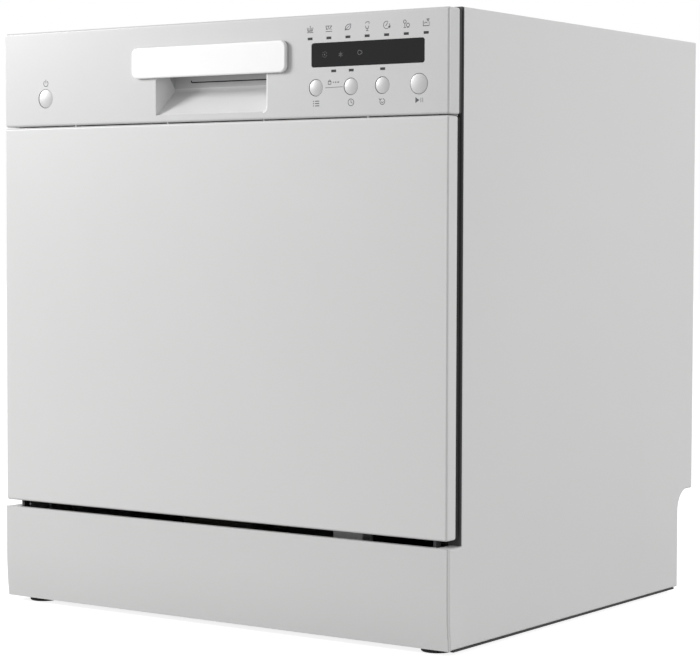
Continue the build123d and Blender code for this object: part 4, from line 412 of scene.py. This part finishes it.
# ------------------------------------------------------------------ domed buttons
DOME = 0.75            # the crown's edge lies this far behind its middle
DOME_STEPS = 8
EDGE_ROUND = 0.35      # width of the round between crown and side
EDGE_STEP = 0.1
EDGE_DROP = 0.4
COLLAR = 1.6           # flange that keeps the button behind the fascia
COLLAR_FRONT = 4.2
for node in ("power", "program", "delay", "half_load", "start"):
    left, right, front, back, bottom, top = span(*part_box(node + "_button"))
    radius = (right - left) / 2 - COLLAR
    profile = [(0, front)]
    for i in range(1, DOME_STEPS + 1):
        r = (radius - EDGE_ROUND) * i / DOME_STEPS
        profile.append((r, front + DOME * (r / radius) ** 2))
    edge = front + DOME
    profile += [(radius - EDGE_STEP, edge + EDGE_STEP), (radius, edge + EDGE_DROP),
                (radius, COLLAR_FRONT), (radius + COLLAR, COLLAR_FRONT),
                (radius + COLLAR, back), (0, back)]
    cap = lathe(node + "_cap", profile, (left + right) / 2, (bottom + top) / 2,
                MAT["button_pearl"])
    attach(cap, node)
    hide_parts(node + "_button")

# ------------------------------------------------------------------ door gasket
SEAL_CORNER = 14.0     # radius of the outer corners
# (millimetres in from the outer edge, share of the height): flat foot, bulb with two ribs
SEAL_OUTLINE = [(0.1, 0.0), (6.5, 0.0), (6.5, 0.24), (5.9, 0.34), (6.2, 0.52), (6.0, 0.74),
                (5.3, 0.91), (4.6, 1.0), (4.0, 0.93), (3.3, 0.90), (2.6, 0.93), (2.0, 1.0),
                (1.3, 0.91), (0.6, 0.74), (0.4, 0.52), (0.7, 0.34), (0.1, 0.24)]


def gasket():
    """Seal round the tub's mouth."""
    left, right, front, back, bottom, top = span(*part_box("door_seal"))
    bm = bmesh.new()
    loops = []
    for across, share in SEAL_OUTLINE:
        around = rounded_loop((right - left) / 2 - across, (top - bottom) / 2 - across,
                              SEAL_CORNER - across, (left + right) / 2, (bottom + top) / 2)
        loops.append([point(bm, x, back - share * (back - front), z) for x, z in around])
    for k, a in enumerate(loops):
        b = loops[(k + 1) % len(loops)]
        for i in range(len(a)):
            j = (i + 1) % len(a)
            bm.faces.new((a[i], a[j], b[j], b[i]))
    bmesh.ops.recalc_face_normals(bm, faces=bm.faces)
    return soften(mesh_object("mouth_gasket", bm, MAT["gasket"]), angle=50.0)


seal = gasket()
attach(seal, "cabinet")
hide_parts("door_seal")

# ------------------------------------------------------------------ small parts of the front
# rests that keep the seam between fascia and door even
REST_XS = (-177.0, -56.0, 63.0, 184.0)
REST_HALF = 0.8
REST_DEPTHS = (1.6, 9.0)
SEAM = (495.5, 496.5)
bm = bmesh.new()
for x in REST_XS:
    bar(bm, x - REST_HALF, x + REST_HALF, *REST_DEPTHS, *SEAM)
rests = bevelled(mesh_object("seam_rests", bm, MAT["fascia"], smooth=False), width=0.2)
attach(rests, "door")

# painted shade: a black bar along the back of the finger scoop, turned up at its left end,
# stands for the shade inside the slit there
SLOT_LEFT, SLOT_RIGHT = -48.0, 66.5
SLOT_DEPTHS = (29.55, 30.05)
SLOT_LEVELS = (536.7, 537.7)
SLOT_END = 1.0
SLOT_END_LEVELS = (537.2, 539.2)
bm = bmesh.new()
bar(bm, SLOT_LEFT, SLOT_RIGHT, *SLOT_DEPTHS, *SLOT_LEVELS)
bar(bm, SLOT_LEFT - SLOT_END, SLOT_LEFT, *SLOT_DEPTHS, *SLOT_END_LEVELS)
slit_shade = bevelled(mesh_object("scoop_slit_shade", bm, MAT["gap_painted_shade"], smooth=False), width=0.15)
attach(slit_shade, "door")

# painted highlight: a white strip along the scoop's rounded right edge, and the fascia filling
# the corner outside it
RIM_RADIUS = 5.0
HIGHLIGHT_WIDTH = 1.2
HIGHLIGHT_DEPTH = -0.04
CORNER_DEPTH = 0.02
CORNER_LAP = 0.1       # the corner piece reaches this far over the fascia
bend = arc(SCOOP_RIGHT - RIM_RADIUS, SCOOP_BOTTOM + RIM_RADIUS, RIM_RADIUS, 0, -90, 10)
bm = bmesh.new()
patch(bm, [(SCOOP_RIGHT + CORNER_LAP, SCOOP_BOTTOM - CORNER_LAP)] + bend, CORNER_DEPTH)
corner = mesh_object("scoop_corner", bm, MAT["fascia"], smooth=False)
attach(corner, "door")
bm = bmesh.new()
stroke(bm, [(SCOOP_RIGHT, SCOOP_TOP)] + bend, HIGHLIGHT_WIDTH, HIGHLIGHT_DEPTH)
painted_highlight = mesh_object("scoop_painted_highlight", bm, MAT["grip_white"], smooth=False)
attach(painted_highlight, "door")

# ------------------------------------------------------------------ printed symbols
INK = -0.06            # depth of the print on the fascia
GLASS = 0.25           # depth of the signs behind the display's pane
LINE = 0.6
RING_STEPS = 28


def mark(bm, *points, width=LINE, closed=False, depth=INK):
    """Printed line through (x, z) points."""
    stroke(bm, list(points), width, depth, closed)


def ring(bm, x, z, radius, start=0, end=360, width=LINE, depth=INK):
    """Printed ring, or part of one."""
    whole = end - start >= 360
    points = arc(x, z, radius, start, end, RING_STEPS)
    stroke(bm, points[:-1] if whole else points, width, depth, whole)


def button_signs(bm):
    """Signs beside the buttons, each drawn from one point of its own figure."""
    x, z = -216.5, 540.3   # power: a broken ring with a bar
    ring(bm, x, z, 3.0, 125, 415, 0.7)
    mark(bm, (x, z + 0.3), (x, z + 4.1), width=0.7)
    x, z = 122.9, 512.2    # programme: three lines of a list
    for k in range(3):
        row = z - 2.2 * k
        mark(bm, (x + 1.7, row), (x + 6.7, row), width=0.8)
        disc(bm, x, row, 0.55, INK)
    x, z = 165.9, 510.0    # delay: a clock
    ring(bm, x, z, 3.2)
    mark(bm, (x, z + 2.2), (x, z), (x + 1.7, z - 0.8))
    x, z = 201.2, 509.7    # half load: a round with an arrow head
    ring(bm, x, z, 2.7, 150, 440)
    mark(bm, (x - 3.8, z + 2.9), (x - 2.4, z + 1.5), (x - 0.8, z + 2.7), width=0.7)
    mark(bm, (x - 1.3, z - 0.1), (x, z - 1.3), (x + 1.4, z + 0.1), width=0.55)
    x, z = 237.6, 509.9    # start and pause
    patch(bm, [(x, z - 2.7), (x + 4.4, z), (x, z + 2.7)], INK)
    for dx in (6.0, 8.0):
        mark(bm, (x + dx, z - 2.0), (x + dx, z + 2.0), width=0.45)
    x, z = 141.5, 527.6    # child lock: a line between two buttons, a padlock, three dashes
    mark(bm, (x - 4.9, z - 3.2), (x + 15.5, z - 2.8), width=0.45)
    mark(bm, (x - 1.6, z), (x + 1.6, z), (x + 1.6, z + 2.6), (x - 1.6, z + 2.6), closed=True)
    ring(bm, x, z + 2.8, 1.1, 0, 180, 0.5)
    for dx, length in ((3.8, 1.0), (6.1, 1.6), (8.9, 2.0)):
        mark(bm, (x + dx, z + 1.7), (x + dx + length, z + 1.7), width=1.0)


PROGRAMME_X, PROGRAMME_Z = 118.8, 579.8    # middle of the first picture
PROGRAMME_STEP = 21.7


def programme_signs(bm):
    """Seven pictures over the lamps, each about its own middle."""
    z = PROGRAMME_Z
    pots, daily, saving, glass, dial, quick, soak = (PROGRAMME_X + PROGRAMME_STEP * k
                                                     for k in range(7))
    x = pots       # a basin over a line, with three strokes standing in it
    mark(bm, (x - 3.4, z + 1.6), (x - 2.6, z - 1.6), (x + 2.6, z - 1.6), (x + 3.4, z + 1.6))
    mark(bm, (x - 3.6, z - 3.0), (x + 3.6, z - 3.0))
    for dx, rise in ((-1.5, 1.4), (0.2, 3.4), (1.8, 1.4)):
        mark(bm, (x + dx, z - 1.4), (x + dx, z + rise))
    x = daily      # a cup and a leaning plate on a line
    mark(bm, (x - 3.4, z + 2.2), (x - 0.4, z + 2.2), (x - 1.2, z - 0.9), (x - 2.7, z - 0.9),
         closed=True)
    mark(bm, (x + 0.4, z + 2.2), (x + 3.3, z + 2.4), (x + 0.6, z - 0.9), (x + 3.4, z - 0.9))
    mark(bm, (x - 3.6, z - 2.9), (x + 3.6, z - 2.9))
    x = saving     # a leaf
    mark(bm, (x - 3.0, z - 2.6), (x - 2.6, z + 0.6), (x - 0.2, z + 2.6), (x + 3.3, z + 2.9),
         (x + 3.0, z - 0.4), (x + 1.0, z - 2.2), (x - 1.6, z - 2.2), closed=True)
    mark(bm, (x - 3.0, z - 2.6), (x + 1.8, z + 1.6), width=0.5)
    x = glass      # a goblet under a spray head
    mark(bm, (x - 1.8, z + 0.3), (x - 1.2, z - 2.1), (x + 1.2, z - 2.1), (x + 1.8, z + 0.3))
    mark(bm, (x, z - 2.1), (x, z - 4.0))
    mark(bm, (x - 1.4, z - 4.1), (x + 1.4, z - 4.1))
    mark(bm, (x - 2.2, z + 2.6), (x - 0.8, z + 3.9), (x + 2.2, z + 3.9), (x + 2.2, z + 1.8))
    x = dial       # a timer with two hands and an arrow
    ring(bm, x, z, 3.4, 60, 380)
    mark(bm, (x, z), (x + 0.9, z + 2.2))
    mark(bm, (x - 1.4, z - 0.6), (x, z))
    mark(bm, (x + 4.2, z - 0.8), (x + 3.3, z - 2.4), (x + 1.9, z - 1.2), width=0.8)
    x = quick      # a glass and a cup
    ring(bm, x - 1.6, z + 2.0, 1.5)
    mark(bm, (x - 1.6, z + 0.5), (x - 1.6, z - 3.2))
    mark(bm, (x - 3.0, z - 3.3), (x - 0.2, z - 3.3))
    ring(bm, x + 1.9, z - 1.2, 1.7)
    mark(bm, (x + 0.9, z - 3.3), (x + 3.0, z - 3.3))
    x = soak       # a tub with a spray
    mark(bm, (x - 3.2, z + 2.0), (x - 3.2, z - 2.8), (x + 3.2, z - 2.8), (x + 3.2, z + 0.8))
    mark(bm, (x - 2.0, z - 0.6), (x - 0.4, z + 0.6), (x + 1.2, z - 0.6))
    mark(bm, (x + 0.6, z + 3.2), (x + 3.3, z + 3.2), (x + 2.0, z + 1.4), closed=True, width=0.7)


bm = bmesh.new()
button_signs(bm)
programme_signs(bm)
symbols = mesh_object("fascia_symbols", bm, MAT["print_grey"], smooth=False)
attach(symbols, "door")

# three faint signs behind the display's pane
FAINT = dict(width=0.55, depth=GLASS)
bm = bmesh.new()
x, z = 135.4, 555.6        # a broken ring round a dot
for k in range(7):
    ring(bm, x, z, 2.5, 20 + 50 * k, 44 + 50 * k, **FAINT)
disc(bm, x, z, 0.7, GLASS)
x, z = 153.8, 555.0        # a star of three lines
for (x0, z0), (x1, z1) in zip(arc(x, z, 2.5, 210, 330, 2), arc(x, z, 2.5, 30, 150, 2)):
    mark(bm, (x0, z0), (x1, z1), **FAINT)
x, z = 175.2, 556.0        # a turning arrow
ring(bm, x, z, 2.0, 20, 290, **FAINT)
mark(bm, (x + 0.8, z - 1.8), (x + 3.0, z - 0.6), (x + 2.4, z + 1.8), **FAINT)
signs = mesh_object("display_signs", bm, MAT["display_mark"], smooth=False)
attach(signs, "door")

# ------------------------------------------------------------------ floor, light, camera
WHITE = (1, 1, 1, 1)
FLOOR_GREY = (0.46, 0.46, 0.46, 1)
FLOOR_GLOW = 0.86      # lifts the floor to white in the picture and in reflections
FLOOR_HALF = 9.0
FLOOR_DROP = 0.0002    # keeps the floor just under the feet
SOFT_LIGHT = 0.48      # strength of the world as light


def emptied(holder):
    """The holder's node tree, with no nodes left in it."""
    holder.use_nodes = True
    holder.node_tree.nodes.clear()
    return holder.node_tree


def seen_by(nt, *rays):
    """1 for the kinds of ray named, 0 for the others."""
    path = nt.nodes.new("ShaderNodeLightPath")
    value = path.outputs[rays[0]]
    for ray in rays[1:]:
        larger = nt.nodes.new("ShaderNodeMath")
        larger.operation = "MAXIMUM"
        nt.links.new(value, larger.inputs[0])
        nt.links.new(path.outputs[ray], larger.inputs[1])
        value = larger.outputs[0]
    return value


floor_mat = bpy.data.materials.new("floor_white")
nt = emptied(floor_mat)
diffuse = nt.nodes.new("ShaderNodeBsdfDiffuse")
diffuse.inputs["Color"].default_value = FLOOR_GREY
glow = nt.nodes.new("ShaderNodeEmission")
glow.inputs["Color"].default_value = WHITE
gain = nt.nodes.new("ShaderNodeMath")
gain.operation = "MULTIPLY"
gain.inputs[1].default_value = FLOOR_GLOW
both = nt.nodes.new("ShaderNodeAddShader")
out = nt.nodes.new("ShaderNodeOutputMaterial")
nt.links.new(seen_by(nt, "Is Camera Ray", "Is Glossy Ray"), gain.inputs[0])
nt.links.new(gain.outputs[0], glow.inputs["Strength"])
nt.links.new(diffuse.outputs[0], both.inputs[0])
nt.links.new(glow.outputs[0], both.inputs[1])
nt.links.new(both.outputs[0], out.inputs["Surface"])

bm = bmesh.new()
bmesh.ops.create_grid(bm, x_segments=1, y_segments=1, size=FLOOR_HALF)
floor = mesh_object("floor", bm, floor_mat, smooth=False)
floor.location = (0, 0, -FLOOR_DROP)

world = bpy.data.worlds.new("studio")
bpy.context.scene.world = world
nt = emptied(world)
mix = nt.nodes.new("ShaderNodeMixShader")
out = nt.nodes.new("ShaderNodeOutputWorld")
for strength, socket in ((SOFT_LIGHT, mix.inputs[1]), (1.0, mix.inputs[2])):
    sky = nt.nodes.new("ShaderNodeBackground")
    sky.inputs["Color"].default_value = WHITE
    sky.inputs["Strength"].default_value = strength
    nt.links.new(sky.outputs[0], socket)
nt.links.new(seen_by(nt, "Is Camera Ray", "Is Glossy Ray", "Is Transmission Ray"),
             mix.inputs["Fac"])
nt.links.new(mix.outputs[0], out.inputs["Surface"])


def lamp(name, place, aim, size, watts):
    """Square area lamp that looks at the aim."""
    data = bpy.data.lights.new(name, "AREA")
    data.shape = "RECTANGLE"
    data.size, data.size_y = size, size
    data.energy = watts
    obj = bpy.data.objects.new(name, data)
    obj.location = place
    obj.rotation_euler = (Vector(aim) - Vector(place)).to_track_quat("-Z", "Y").to_euler()
    bpy.context.scene.collection.objects.link(obj)


lamp("key", place=(-2.6, -2.1, 1.45), aim=(0, -0.25, 0.30), size=1.15, watts=100.0)
lamp("side", place=(2.4, 0.60, 0.90), aim=(0.27, 0, 0.30), size=1.2, watts=24.5)

CAMERA_PLACE = (1.35672, FRONT_Y - 1.71145, 0.39373)
CAMERA_TURN = 34.836       # degrees to the object's right
CAMERA_PITCH = 2.612       # degrees downward
CAMERA_ROLL = 0.18
SENSOR_WIDTH = 36.0        # millimetres, as the focal length
FOCAL_LENGTH = 114.69
FARTHEST_SEEN = 30.0
cam_data = bpy.data.cameras.new("camera")
cam_data.sensor_width = SENSOR_WIDTH
cam_data.lens = FOCAL_LENGTH
cam_data.clip_end = FARTHEST_SEEN
cam = bpy.data.objects.new("camera", cam_data)
cam.location = CAMERA_PLACE
turn = (Matrix.Rotation(math.radians(CAMERA_TURN), 3, "Z")
        @ Matrix.Rotation(math.radians(90 - CAMERA_PITCH), 3, "X")
        @ Matrix.Rotation(math.radians(CAMERA_ROLL), 3, "Z"))
cam.rotation_euler = turn.to_euler()
bpy.context.scene.collection.objects.link(cam)
bpy.context.scene.camera = cam
bpy.context.scene.view_settings.view_transform = "Standard"
